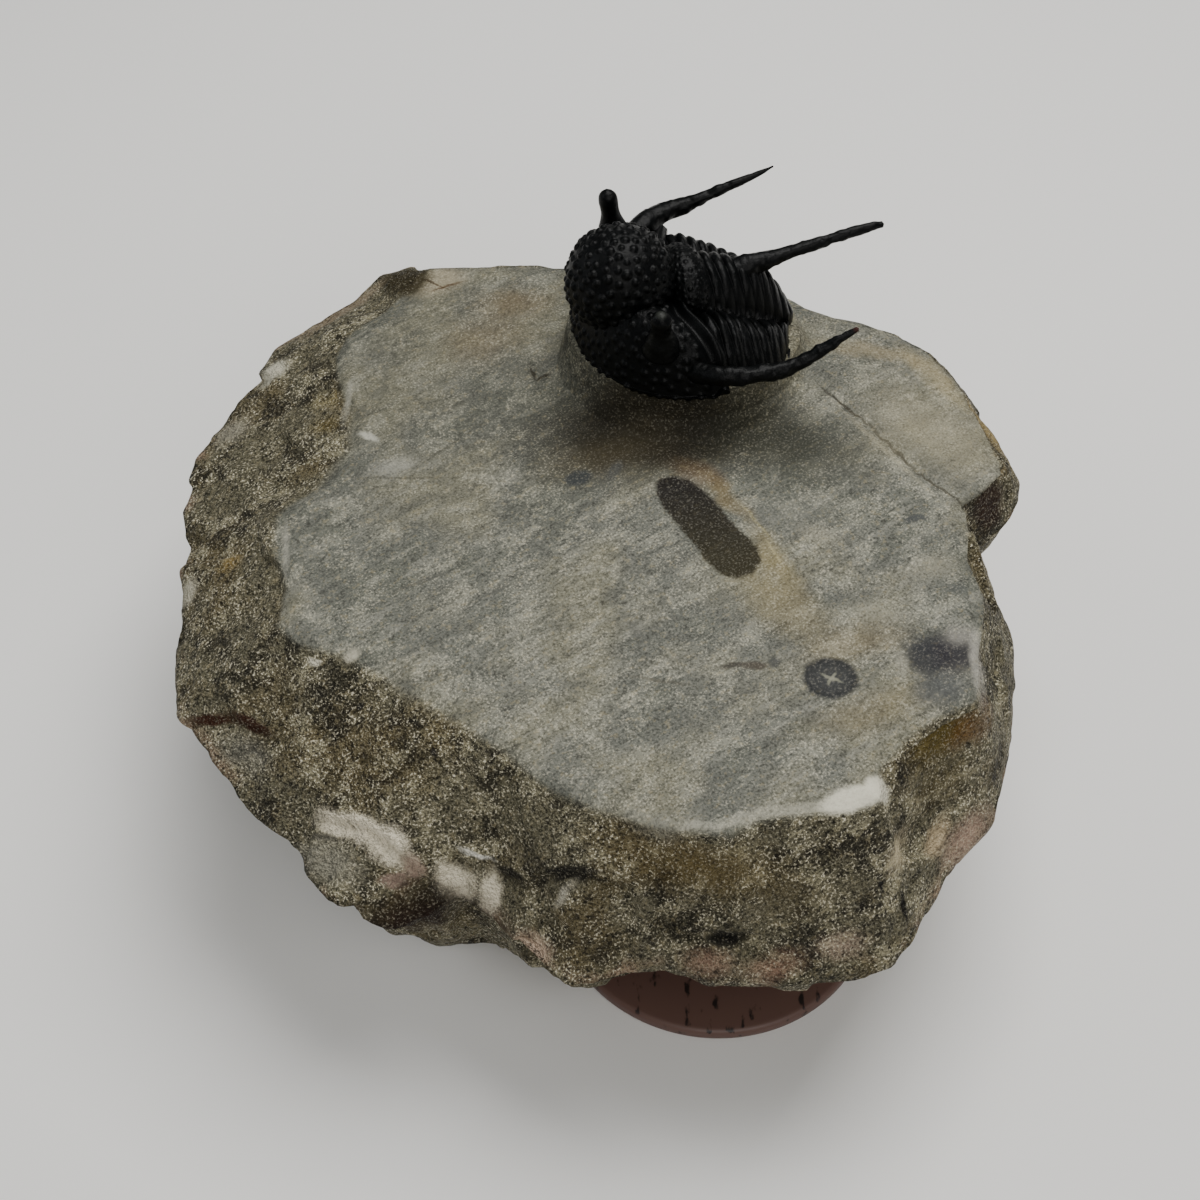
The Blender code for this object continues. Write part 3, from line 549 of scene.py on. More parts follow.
# Marks, as middle, half sizes, turn in degrees, softness, strength, wander (0 fine, 1 broad), colour
# Most marks are stains, chips and grains of the stone; those noted below are painted shade, painted
# shadow or a painted highlight.
MARKS = (
    ((-21.0, 34.0, 27.5), (17.0, 14.0, 6.0), 0, 0.8, 0.3, 1, "#38372b"),
    ((-2.2, 22.0, 27.5), (2.6, 1.1, 4.0), -35, 0.7, 0.5, 1, "#6b4a1c"),
    ((0.6, 19.0, 27.5), (2.6, 0.8, 4.0), -52, 0.7, 0.45, 1, "#75602f"),
    ((3.6, 13.4, 27.5), (2.8, 0.9, 4.0), -62, 0.8, 0.4, 1, "#8a7a48"),
    ((4.4, 8.6, 27.5), (4.2, 1.9, 4.0), -55, 0.8, 0.35, 1, "#82713f"),
    ((9.4, 4.6, 27.5), (3.6, 1.4, 4.0), 25, 0.9, 0.25, 1, "#8a7443"),
    ((9.6, -1.6, 27.5), (4.4, 1.3, 4.0), 20, 0.9, 0.25, 1, "#84713f"),
    # Painted shade cast under the trilobite's head, over a dark ochre stain on the mound
    ((-4.6, 26.4, 27.5), (9.6, 5.0, 6.0), 8, 0.5, 0.95, 1, "#1a160b"),
    ((-9.0, 23.5, 27.5), (4.6, 1.8, 4.0), 25, 0.9, 0.55, 1, "#443d2a"),
    # Painted shade under the near spine on the mound's right side
    ((5.6, 25.0, 27.5), (5.6, 3.6, 6.0), -20, 0.8, 0.8, 1, "#2c2d23"),
    ((7.4, 15.4, 27.5), (1.5, 0.8, 4.0), -25, 0.9, 0.35, 0, "#aaa58f"),
    ((10.6, 7.6, 27.5), (2.6, 1.0, 4.0), 5, 0.9, 0.3, 1, "#aaa68f"),
    ((15.9, 11.8, 27.4), (2.0, 1.1, 4.0), 20, 0.8, 0.3, 1, "#b0aa92"),
    ((2.7, 16.6, 27.5), (1.8, 0.14, 4.0), -58, 0.6, 0.35, 0, "#b3a878"),
    ((3.9, 13.4, 27.5), (1.3, 0.12, 4.0), -68, 0.6, 0.35, 0, "#bdb287"),
    ((-5.5, -10.9, 27.0), (1.7, 0.55, 3.0), -20, 0.7, 0.3, 0, "#a3a398"),
    ((-2.2, -11.2, 27.0), (1.6, 0.3, 3.0), 0, 0.6, 0.4, 0, "#b9b6a5"),
    ((0.8, -10.4, 27.2), (2.1, 0.4, 3.0), 22, 0.6, 0.4, 0, "#b4b1a0"),
    ((4.6, -9.7, 27.2), (2.8, 0.4, 3.0), 9, 0.5, 0.5, 0, "#b2af9d"),
    ((8.2, -8.8, 27.2), (2.4, 0.85, 3.0), 20, 0.35, 0.9, 0, "#d8d4c0"),
    ((10.0, -7.8, 27.2), (1.0, 0.9, 3.0), 30, 0.35, 0.9, 0, "#d8d4c0"),
    ((-10.9, 21.1, 27.5), (1.15, 0.75, 3.0), 32, 0.3, 0.85, 0, "#2f3334"),
    ((-8.0, 22.0, 27.5), (1.0, 0.42, 3.0), 70, 0.5, 0.7, 0, "#474845"),
    ((14.9, 16.8, 27.5), (0.95, 0.4, 3.0), 12, 0.4, 0.8, 0, "#3f4242"),
    ((7.3, 1.4, 27.5), (2.0, 1.85, 3.0), 0, 0.14, 0.95, 0, "#202224"),
    ((7.3, 1.4, 27.5), (1.35, 1.2, 3.0), 0, 0.7, 0.45, 0, "#4a4b49"),
    ((7.4, 1.4, 27.5), (0.75, 0.14, 3.0), -28, 0.5, 0.75, 0, "#8f8e7c"),
    ((0.3, 2.5, 27.5), (0.9, 0.28, 3.0), 8, 0.5, 0.85, 0, "#34312a"),
    ((2.0, 2.5, 27.5), (1.0, 0.36, 3.0), -4, 0.5, 0.8, 0, "#3f372e"),
    ((3.4, 2.8, 27.5), (0.4, 0.6, 3.0), 0, 0.5, 0.8, 0, "#393b3b"),
    ((14.6, 3.4, 27.3), (1.9, 1.9, 4.0), 10, 0.5, 0.92, 0, "#2a2b2e"),
    ((16.6, 3.8, 27.2), (1.7, 2.0, 4.0), 0, 0.5, 0.85, 0, "#2c2a2e"),
    ((14.9, 0.4, 27.3), (1.9, 1.2, 4.0), 15, 0.6, 0.7, 0, "#45484a"),
    ((18.2, 2.9, 27.0), (0.6, 2.8, 4.0), 0, 0.6, 0.5, 0, "#c4c0b4"),
    ((17.0, 5.4, 27.2), (1.0, 0.8, 4.0), 20, 0.8, 0.35, 0, "#b6b2a6"),
    ((10.5, 29.2, 27.5), (3.0, 0.13, 3.0), -52, 0.5, 0.9, 0, "#26231b"),
    ((13.9, 24.5, 27.5), (3.0, 0.16, 3.0), -57, 0.5, 0.9, 0, "#26231b"),
    ((17.2, 20.1, 27.4), (2.6, 0.13, 3.0), -46, 0.5, 0.8, 0, "#2e2a20"),
    ((13.3, 24.1, 27.5), (5.5, 0.22, 3.0), -56, 0.7, 0.3, 0, "#aca58c"),
    ((15.0, 25.0, 27.5), (5.5, 0.8, 3.0), -54, 0.8, 0.6, 0, "#555751"),
    ((-14.7, 33.1, 27.5), (0.9, 0.14, 3.0), -70, 0.5, 0.85, 0, "#2a261c"),
    ((-13.8, 32.6, 27.5), (0.7, 0.16, 3.0), 40, 0.5, 0.85, 0, "#2a261c"),
    ((-25.0, 21.2, 27.5), (3.6, 0.1, 3.0), 0, 0.7, 0.4, 0, "#3a372d"),
    ((-22.6, 10.4, 27.5), (2.2, 0.2, 3.0), 26, 0.7, 0.65, 0, "#484842"),
    ((-17.0, 9.5, 27.5), (1.9, 0.14, 3.0), 32, 0.7, 0.6, 0, "#4a4a44"),
    ((-4.9, 1.2, 27.5), (2.2, 0.16, 3.0), -12, 0.8, 0.55, 0, "#504c40"),
    ((17.4, 9.7, 27.5), (0.8, 0.5, 3.0), 0, 0.6, 0.5, 0, "#4c4f4c"),
    ((-6.6, 5.9, 27.5), (1.4, 0.3, 3.0), -60, 0.8, 0.45, 0, "#575751"),
    ((-21.6, 24.1, 27.5), (2.2, 0.12, 3.0), 42, 0.7, 0.7, 0, "#45443a"),
    # Painted shadow of the trilobite in front of the mound's right side, over a grey mottled patch
    ((5.6, 17.5, 27.5), (3.6, 1.5, 4.0), 5, 0.9, 0.45, 1, "#63645c"),
    ((12.6, 2.7, 27.4), (0.45, 1.2, 4.0), 0, 0.6, 0.35, 0, "#aca897"),
    ((7.4, 1.4, 27.5), (0.6, 0.12, 3.0), 60, 0.5, 0.7, 0, "#8f8e7c"),
    ((-27.6, 25.6, 27.4), (0.9, 0.35, 3.0), -30, 0.6, 0.8, 0, "#b5b3a5"),
    ((-25.4, 22.4, 27.5), (1.6, 0.8, 3.0), 20, 0.8, 0.55, 0, "#9d9c91"),
    ((-33.0, 14.0, 27.0), (0.26, 2.4, 3.0), 6, 0.7, 0.4, 0, "#b4b1a3"),
    ((-29.6, 29.6, 27.0), (0.25, 2.2, 3.0), -4, 0.7, 0.6, 0, "#9c9a8d"),
    ((-18.7, 37.2, 27.5), (3.2, 2.4, 3.0), 40, 0.9, 0.35, 1, "#6d5c3d"),
    ((-16.4, 41.6, 27.4), (2.6, 1.6, 3.0), 0, 0.9, 0.5, 1, "#6b5a3b"),
    ((-23.2, 44.4, 27.2), (2.4, 1.7, 3.0), 30, 0.5, 0.5, 1, "#a89c80"),
    ((-23.6, 44.2, 27.2), (1.7, 0.13, 3.0), -35, 0.6, 0.85, 0, "#3f2f1b"),
    ((-22.3, 43.6, 27.2), (1.3, 0.16, 3.0), 25, 0.6, 0.85, 0, "#48351f"),
    ((-26.0, 45.6, 26.6), (2.2, 3.3, 3.0), 20, 0.3, 0.95, 0, "#2c2612"),
    ((-31.6, 43.0, 25.4), (4.2, 1.0, 2.5), 42, 0.5, 0.75, 0, "#8b7c66"),
    ((13.4, 35.4, 27.5), (4.2, 0.8, 3.0), -12, 0.8, 0.35, 1, "#a3926b"),
    ((18.4, 32.2, 27.4), (3.8, 0.9, 3.0), -58, 0.8, 0.4, 1, "#ab9a6c"),
    ((21.8, 27.6, 26.5), (3.4, 1.1, 3.0), -55, 0.8, 0.7, 1, "#a08b58"),
    ((17.0, 27.0, 27.5), (5.4, 3.6, 3.0), -50, 0.9, 0.45, 1, "#9a9276"),
    ((21.6, 20.0, 25.6), (1.9, 1.8, 2.2), 20, 0.4, 0.9, 0, "#2b190f"),
    ((21.6, 22.6, 26.2), (1.2, 0.7, 2.0), 20, 0.6, 0.7, 0, "#9a8a66"),
    ((-36.6, 36.2, 24.1), (1.5, 0.9, 1.6), 30, 0.5, 0.95, 0, "#c6c2ae"),
    ((-39.4, 30.0, 23.4), (1.2, 1.6, 1.5), -30, 0.6, 0.75, 0, "#8d897a"),
    ((-41.0, 13.6, 22.2), (0.8, 1.1, 1.5), 0, 0.5, 0.9, 0, "#b8b39f"),
    ((-29.9, 3.6, 26.5), (0.5, 0.35, 1.2), -20, 0.4, 0.95, 0, "#c9c4b0"),
    ((-27.2, 3.7, 26.9), (0.6, 0.4, 1.2), 30, 0.6, 0.8, 0, "#bdb8a4"),
    ((-31.4, 30.8, 26.5), (1.2, 0.9, 1.5), 0, 0.8, 0.4, 0, "#8a7a44"),
    ((-31.2, 27.6, 26.5), (1.1, 0.8, 1.5), 0, 0.8, 0.4, 0, "#857440"),
    ((-37.7, 14.7, 24.9), (0.9, 0.8, 1.5), 0, 0.7, 0.45, 0, "#93793c"),
    ((-26.5, 0.2, 25.8), (0.3, 0.3, 1.0), 0, 0.4, 0.95, 0, "#08070a"),
    ((-22.1, -2.1, 26.2), (0.35, 0.3, 1.0), 0, 0.4, 0.9, 0, "#0b0a0c"),
    ((-20.9, -4.0, 25.6), (0.3, 0.25, 1.0), 0, 0.4, 0.8, 0, "#15141a"),
    ((-38.0, 1.9, 21.8), (1.9, 0.3, 1.2), -8, 0.5, 0.95, 0, "#3a1a0a"),
    ((-34.8, 0.9, 22.7), (1.9, 0.28, 1.2), -30, 0.5, 0.95, 0, "#351a0c"),
    ((-35.2, -0.9, 21.4), (2.2, 1.2, 1.2), -30, 0.7, 0.6, 0, "#6a6962"),
    ((-27.3, -7.3, 21.8), (2.3, 0.8, 2.2), -25, 0.5, 0.9, 1, "#f3e9cf"),
    ((-24.4, -8.7, 21.4), (2.1, 0.8, 2.2), -30, 0.5, 0.9, 1, "#f3e9cf"),
    ((-22.4, -9.8, 20.0), (1.1, 0.5, 1.3), -40, 0.5, 0.85, 0, "#b09a88"),
    ((-23.6, -10.4, 19.4), (1.2, 0.35, 0.9), 10, 0.5, 0.85, 0, "#a18a7c"),
    ((-29.8, -7.2, 20.4), (2.3, 0.28, 0.9), -18, 0.5, 0.9, 0, "#14100b"),
    ((-28.6, -9.0, 19.4), (2.5, 1.2, 2.2), -30, 0.7, 0.8, 0, "#8d8a7b"),
    ((-19.6, -10.3, 19.0), (1.6, 0.9, 2.2), -10, 0.5, 0.9, 1, "#f3e9cf"),
    ((-17.0, -11.3, 18.6), (0.8, 1.2, 2.2), -15, 0.5, 0.9, 1, "#f3e9cf"),
    # Painted highlight along the lip of the ledge's left end
    ((-17.9, -9.4, 20.9), (1.4, 0.16, 0.8), -22, 0.5, 0.9, 0, "#cfccc0"),
    # Painted shadow under the overhang of the ledge step
    ((-15.4, -11.0, 21.3), (1.7, 0.22, 0.9), -38, 0.5, 0.9, 0, "#0f0d09"),
    ((-11.4, -12.4, 23.3), (3.6, 0.22, 1.1), -8, 0.5, 0.9, 0, "#0f0d09"),
    ((-11.6, -13.2, 22.0), (1.5, 0.3, 0.9), 35, 0.7, 0.7, 0, "#bdb8a8"),
    ((-14.1, -15.1, 17.6), (1.5, 1.0, 1.4), -30, 0.6, 0.85, 0, "#d3b8a0"),
    ((-1.6, -16.4, 18.0), (1.5, 0.6, 1.8), -10, 0.9, 0.4, 0, "#c09a82"),
    ((3.0, -16.6, 17.8), (1.7, 0.6, 1.8), 10, 0.9, 0.4, 0, "#b98f78"),
    ((7.6, -15.4, 18.6), (1.5, 0.5, 1.8), 12, 0.9, 0.4, 0, "#cbb09c"),
    # Painted shade inside a slot in the front edge
    ((-0.8, -15.4, 19.9), (2.0, 0.5, 0.7), 0, 0.4, 0.95, 0, "#060504"),
    ((12.0, -9.9, 22.6), (1.8, 0.7, 1.4), 55, 0.6, 0.85, 0, "#cbbd9b"),
    ((15.0, -7.2, 19.9), (1.5, 0.6, 1.6), 60, 0.6, 0.8, 0, "#c4b08e"),
    ((17.4, -6.0, 17.4), (2.6, 0.8, 2.4), 48, 0.7, 0.65, 0, "#c9ab95"),
    ((12.2, -12.6, 19.4), (2.6, 0.24, 1.2), -66, 0.4, 0.95, 0, "#060504"),
    ((10.4, -12.5, 21.8), (0.6, 0.2, 0.9), -35, 0.4, 0.95, 0, "#060504"),
    ((14.8, -2.8, 26.0), (2.8, 1.9, 1.6), 30, 0.6, 0.92, 1, "#4f4214"),
    ((17.2, -1.0, 24.8), (2.2, 1.0, 1.6), 40, 0.7, 0.5, 1, "#7a4c12"),
    ((15.2, -5.4, 23.6), (2.8, 1.4, 1.8), 45, 0.8, 0.55, 1, "#4c4018"),
    ((-1.8, -12.9, 24.8), (4.6, 1.4, 1.8), -8, 0.9, 0.6, 1, "#5b4a1e"),
    ((2.6, -13.6, 22.6), (3.6, 1.2, 1.8), -8, 0.9, 0.45, 1, "#4f4322"),
    # Painted shade in the undercut hollow of the lump below the front-left edge
    ((-20.8, -14.0, 15.2), (5.4, 4.6, 5.2), -20, 0.35, 0.97, 1, "#1c0c04"),
    ((-22.6, -13.4, 13.9), (1.9, 0.4, 0.9), -30, 0.6, 0.8, 0, "#8a7362"),
)
# Each finish carries the marks that reach its own faces, by the height of the mark's middle
GROUND_MARKS_ABOVE = 26.55
BROKEN_MARKS_BELOW = 27.25
# Wander of the marks' outlines, as size and reach: fine, then broad
WANDER = ((0.8, 0.45), (3.2, 1.8))
WANDER_DETAIL = 2.0
# Masks, as start, full, low and high, where low and high aren't given by the nodes or 0 and 1
RIM_PATCHES = (0.52, 0.62, 0.0, 0.8)
RIM_COLOUR = "#9a826b"
STAIN_EDGE = (-0.12, 0.22, 0.0, 0.96)
STAIN_WOBBLE = 0.9
STAIN_BACKWARD = (13 * MM, 20 * MM)
STAIN_TONES = ("#25210f", "#100b06")
GRAIN_HIDING = 0.88
CLUSTERS = (0.42, 0.56, 0.25)
GLOSS = (0.35, 0.7, 0.85, 0.45)
STONE_SPECULAR = 0.2
BUMP_DISTANCE = 0.0009
BUMP_STRENGTH = {"low": 0.8, "high": 0.16}
MOTTLE_BUMP = 2.0
GRAIN_BUMP = 0.5

ground_marks = [mark for mark in MARKS if mark[0][2] > GROUND_MARKS_ABOVE]
broken_marks = [mark for mark in MARKS if mark[0][2] < BROKEN_MARKS_BELOW]
for finish, marks in (("ground_limestone", ground_marks), ("broken_limestone", broken_marks)):
    stone, tree, shader, where = new_material(finish)
    stored = {}
    for name in ("ground", "rim", "stain"):
        stored[name] = add_node(tree, "ShaderNodeAttribute", {}, "Fac", attribute_name=name)
    pattern = {}
    for name, (size, detail, roughness, stretch) in PATTERNS.items():
        inputs = {"Vector": where, "Rotation": (0.0, 0.0, STREAK_TURN), "Scale": (stretch, 1.0, 1.0)}
        laid = add_node(tree, "ShaderNodeMapping", inputs, vector_type="TEXTURE")
        pattern[name] = add_noise(tree, laid, size, detail, roughness)

    wandering = [where]
    for size, reach in WANDER:
        noise = add_noise(tree, where, size, WANDER_DETAIL, output="Color")
        inputs = {0: noise, 1: (0.5, 0.5, 0.5)}
        centred = add_node(tree, "ShaderNodeVectorMath", inputs, operation="SUBTRACT")
        inputs = {0: centred, 1: [reach * MM] * 3, 2: wandering[-1]}
        wandering.append(add_node(tree, "ShaderNodeVectorMath", inputs, operation="MULTIPLY_ADD"))

    finishes = []
    for base, layers in ((BROKEN_BASE, BROKEN_LAYERS), (GROUND_BASE, GROUND_LAYERS)):
        colour = linear(base)
        for name, start, full, amount, code in layers:
            mask = add_mask(tree, pattern[name], start, full, high=amount)
            colour = mix_colours(tree, mask, colour, linear(code))
        finishes.append(colour)
    colour = mix_colours(tree, stored["ground"], *finishes)

    # Fresh breaks along the rim let the paler, pinkish inside of the stone show
    rim_mask = add_math(
        tree, "MULTIPLY", stored["rim"], add_mask(tree, pattern["patch"], *RIM_PATCHES),
    )
    colour = mix_colours(tree, rim_mask, colour, linear(RIM_COLOUR))

    # Each mark is laid over the stone and the marks before it, and the widest cover is kept
    covered = 0.0
    for middle, half, turn, soft, strength, wander, code in marks:
        mask = add_spot(
            tree, wandering[1 + wander], middle, half, turn, 1.0 + soft, 1.0 - soft, strength,
            "SMOOTHSTEP",
        )
        colour = mix_colours(tree, mask, colour, linear(code))
        covered = add_math(tree, "MAXIMUM", mask, covered)

    # The bean-shaped stain: olive at its front end, darker and reddish towards the back
    wobble = add_math(tree, "MULTIPLY_ADD", pattern["fleck"], STAIN_WOBBLE, -STAIN_WOBBLE / 2)
    stain_depth = add_math(tree, "ADD", stored["stain"], wobble)
    stain_mask = add_mask(tree, stain_depth, *STAIN_EDGE)
    backward = add_node(tree, "ShaderNodeSeparateXYZ", {"Vector": wandering[2]}, "Y")
    front_tone, back_tone = STAIN_TONES
    stain_tone = mix_colours(
        tree, add_mask(tree, backward, *STAIN_BACKWARD), linear(front_tone), linear(back_tone),
    )
    colour = mix_colours(tree, stain_mask, colour, stain_tone)

    # The grain shows less where a mark or the stain covers the stone
    hidden = add_math(tree, "MAXIMUM", covered, stain_mask)
    bare = add_math(tree, "MULTIPLY_ADD", hidden, -GRAIN_HIDING, 1.0)
    # The pale grains with painted glints show only where the mottle gathers them into clusters
    clustered = add_mask(tree, pattern["mottle"], *CLUSTERS, high=bare)
    for name, start, full, on_ground, on_break, code in FINE_LAYERS:
        amount = add_mask(tree, stored["ground"], 0.0, 1.0, on_break, on_ground)
        shown = add_math(tree, "MULTIPLY", amount, clustered if code == GRAIN_AND_PAINTED_GLINT else bare)
        mask = add_mask(tree, pattern[name], start, full, high=shown)
        colour = mix_colours(tree, mask, colour, linear(code))

    height = add_math(tree, "MULTIPLY_ADD", pattern["mottle"], MOTTLE_BUMP, pattern["fleck"])
    height = add_math(tree, "MULTIPLY_ADD", pattern["grain"], GRAIN_BUMP, height)
    bump_strength = add_mask(tree, stored["ground"], 0.0, 1.0, **BUMP_STRENGTH)
    inputs = {"Height": height, "Distance": BUMP_DISTANCE, "Strength": bump_strength}
    feed(tree, shader, {
        "Base Color": colour,
        "Roughness": add_mask(tree, pattern["grain"], *GLOSS),
        "Specular IOR Level": STONE_SPECULAR,
        "Normal": add_node(tree, "ShaderNodeBump", inputs),
    })
    limestone_block.data.materials.append(stone)

beyond_edge = np.repeat(block_place[1:] > BROKEN_FINISH_FROM, BLOCK_BEARINGS)
face_finish = np.concatenate([beyond_edge, np.zeros(BLOCK_BEARINGS), np.ones(BLOCK_BEARINGS)])
limestone_block.data.polygons.foreach_set("material_index", face_finish.astype(np.int32))
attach(limestone_block, "root")
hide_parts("limestone_block")

# The mound: the low pedestal of rock that the preparer left under the animal when the rest of the
# bed was cut away with an air scribe. Its sides flare out, more so towards the front.

FOSSIL_PLACE = np.array((-1.95, 35.75, 33.0))
FOSSIL_HEADING = math.radians(15.5)
FOSSIL_TURN = np.array((
    (math.cos(FOSSIL_HEADING), math.sin(FOSSIL_HEADING), 0.0),
    (-math.sin(FOSSIL_HEADING), math.cos(FOSSIL_HEADING), 0.0),
    (0.0, 0.0, 1.0),
))
BASE_LINE = ((-10.0, -2.15), (1.0, -2.15), (8.9, -3.8))
MOUND_MIDDLE_X = -0.4
MOUND_HALF_SIZES = (9.5, 8.7)
MOUND_SIDES = 260
MOUND_FLARE = ((0.0, 0.0), (0.35, 0.25), (0.75, 0.5), (1.7, 0.78), (3.2, 0.94), (5.0, 1.0))
MOUND_SINK = 0.8
MOUND_FAR_FLARE = 0.1
MOUND_TOP_STEPS = (-8.0, -4.0, -1.5, -0.5)
MOUND_RINGS = 40
MOUND_TOP_LIFT = 0.15
MOUND_WAVES = ((0.12, 2.5, 3, 51),)
# The mound's sides are a little less smooth than the ground top, the more so the higher
MOUND_GRAIN = 0.25
MOUND_GRAIN_HEIGHT = 1.8


def in_place(points):
    """Points of the animal's own frame (x to its tail, y to its right) moved to their place."""
    return np.asarray(points) @ FOSSIL_TURN + FOSSIL_PLACE


def base_height(x):
    """Height at which the fossil ends and the rock begins, at a place along the body."""
    line = np.array(BASE_LINE)
    return np.interp(x, line[:, 0], line[:, 1])


def mound_rings():
    """Rings of the mound from its top's middle out, over the edge and down the flare to its foot."""
    angle = np.arange(MOUND_SIDES) * 2 * math.pi / MOUND_SIDES
    foot = TOP_HEIGHT - MOUND_SINK - FOSSIL_PLACE[2]
    near_side = MOUND_FAR_FLARE + (1.0 - MOUND_FAR_FLARE) * ((1.0 - np.sin(angle)) / 2.0) ** 0.8
    rings = [(outward, 0.0) for outward in MOUND_TOP_STEPS]
    for part in np.linspace(0.0, 1.0, MOUND_RINGS):
        outward, downward = along_knots(MOUND_FLARE, part)
        rings.append((outward * near_side, downward))
    result = []
    for outward, downward in rings:
        x = MOUND_MIDDLE_X + (MOUND_HALF_SIZES[0] + outward) * np.cos(angle)
        y = (MOUND_HALF_SIZES[1] + outward) * np.sin(angle)
        top = base_height(x) + MOUND_TOP_LIFT
        result.append(np.stack([x, y, top + (foot - top) * downward], axis=-1))
    return np.array(result)


mound = in_place(mound_rings())
mound = mound + grid_normals(mound) * uneven(mound, MOUND_WAVES)[..., None]
mound_piece = ring_piece("rock_mound", mound)
mound_heights = np.array([point.co.z for point in mound_piece.data.vertices]) / MM
mound_rise = np.clip((mound_heights - TOP_HEIGHT) / MOUND_GRAIN_HEIGHT, 0.0, 1.0)
for name, value in (("ground", 1.0 - MOUND_GRAIN * mound_rise), ("rim", 0.0), ("stain", NO_STAIN)):
    set_values(mound_piece, name, value + np.zeros(len(mound_heights)))
mound_piece.data.materials.append(bpy.data.materials["ground_limestone"])
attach(mound_piece, "root")
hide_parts("limestone_block")

# The trilobite: black calcite that filled the animal's shed skin, cleaned under a microscope.
# Its head shield is a steep vaulted cheek on either side, a raised border behind, and a rolled edge.

HEAD_LENGTH = 9.6
HEAD_HALF_WIDTH = 9.4
HEAD_ROUNDNESS = 2.1
HEAD_BORDER_HEIGHT = -1.9
CHEEK_RISE = 5.9
CHEEK_STEEPNESS = 8.0
BACK_EDGE = ((3.8, -1.1), (8.0, 0.5))
HEAD_MIDDLE_X = -4.6
CHEEK_BACK_FALL = 2.0
CHEEK_BACK_REACH = 2.6
# Ridge and groove along the shield's back edge, as height, way before the edge and width
BACK_RIDGE = (0.55, 0.45, 0.38)
BACK_GROOVE = (0.3, 1.3, 0.35)
SHIELD_SIDES = 420
SHIELD_RINGS = 110
WALL_RINGS = 25
WALL_INSET = 0.05
WALL_SINK = 0.25
BARE_BACK_BAND = 1.6
# Knobs, as spacing, radius, height and seed
CHEEK_KNOBS = (0.72, 0.27, 0.16, 61)
GLABELLA_KNOBS = (0.72, 0.31, 0.2, 71)
OCCIPITAL_KNOBS = (0.42, 0.17, 0.07, 74)


def scatter(points, spacing, seed):
    """Indices of points that lie at least spacing apart, taken in random order.

    Each turn keeps one point and drops all that lie within spacing of it.
    """
    order = np.random.default_rng(seed).permutation(len(points))
    kept = []
    while len(order):
        kept.append(order[0])
        gap = ((points[order] - points[order[0]]) ** 2).sum(axis=-1)
        order = order[gap > spacing ** 2]
    return np.array(kept)


def tubercle_lift(points, centres, radius, height, seed):
    """Height of small round knobs at the centres: height * sqrt(1 - distance^2 / radius^2)."""
    chance = np.random.default_rng(seed)
    lift = np.zeros(len(points))
    for centre in centres:
        size = radius * chance.uniform(0.75, 1.25)
        squared = ((points - centre) ** 2).sum(axis=-1) / size ** 2
        near = squared < 1.0
        rise = height * size / radius * (1.0 - squared[near]) ** 0.7
        lift[near] = np.maximum(lift[near], rise)
    return lift


def back_edge(y):
    """Place along the body of the head shield's back edge, at a way to either side."""
    sides, places = np.array(BACK_EDGE).T
    return np.interp(np.abs(y), sides, places)


def head_outline(angle):
    """Reach of the head shield's plan outline from its middle, at each angle from the tail's way."""
    side = np.linspace(-HEAD_HALF_WIDTH, HEAD_HALF_WIDTH, 721)
    front = -HEAD_LENGTH * (1.0 - np.abs(side / HEAD_HALF_WIDTH) ** 2) ** (1.0 / HEAD_ROUNDNESS)
    x = np.concatenate([front, back_edge(side)[::-1]]) - HEAD_MIDDLE_X
    y = np.concatenate([side, side[::-1]])
    bearing = np.arctan2(y, x)
    order = np.argsort(bearing)
    return np.interp(angle, bearing[order], np.hypot(x, y)[order], period=2 * math.pi)


def cheek_height(x, y):
    """Height of the head shield: steep-sided cheeks, with a ridge along the shield's back edge."""
    side = np.abs(y)
    forward = np.clip(-x / HEAD_LENGTH, 0, 1)
    radius = np.clip(np.sqrt(forward ** 2 + (side / HEAD_HALF_WIDTH) ** 2), 0, 1)
    cheek = HEAD_BORDER_HEIGHT + CHEEK_RISE * (1.0 - radius ** CHEEK_STEEPNESS)
    before = np.maximum(back_edge(y) - x, 0.0)
    slope = CHEEK_BACK_FALL * hump(before, 0.0, CHEEK_BACK_REACH)
    ridge, groove = (high * hump(before, *place) for high, *place in (BACK_RIDGE, BACK_GROOVE))
    return np.maximum(cheek - slope, HEAD_BORDER_HEIGHT) + ridge - groove


angle = np.arange(SHIELD_SIDES) * 2 * math.pi / SHIELD_SIDES
reach = head_outline(angle)
parts = np.sin(np.linspace(0.03, math.pi / 2, SHIELD_RINGS))
x = HEAD_MIDDLE_X + parts[:, None] * reach * np.cos(angle)
y = parts[:, None] * reach * np.sin(angle)
shield = np.stack([x, y, cheek_height(x, y)], axis=-1)
rim = shield[-1]
low = base_height(rim[:, 0]) - WALL_SINK
wall = []
for part in np.linspace(0.0, 1.0, WALL_RINGS + 1)[1:]:
    inset = 1.0 - WALL_INSET * part ** 2
    wall_x = HEAD_MIDDLE_X + (rim[:, 0] - HEAD_MIDDLE_X) * inset
    wall_height = rim[:, 2] + (low - rim[:, 2]) * part
    wall.append(np.stack([wall_x, rim[:, 1] * inset, wall_height], axis=-1))
shield = np.concatenate([shield, np.array(wall)])
flat = shield.reshape(-1, 3)
spacing, knob_radius, knob_height, seed = CHEEK_KNOBS
centres = flat[scatter(flat, spacing, seed)]
centres = centres[centres[:, 0] < back_edge(centres[:, 1]) - BARE_BACK_BAND]
lift = tubercle_lift(flat, centres, knob_radius, knob_height, seed + 1).reshape(shield.shape[:2])
shield = shield + grid_normals(shield) * lift[..., None]
head_shield = ring_piece("head_shield", in_place(shield))

# The glabella: the swollen middle of the head, covered all over in knobs.

GLABELLA_CENTRE = np.array((-5.9, 0.03, 3.44))
GLABELLA_RADII = np.array((4.3, 4.1, 4.4))


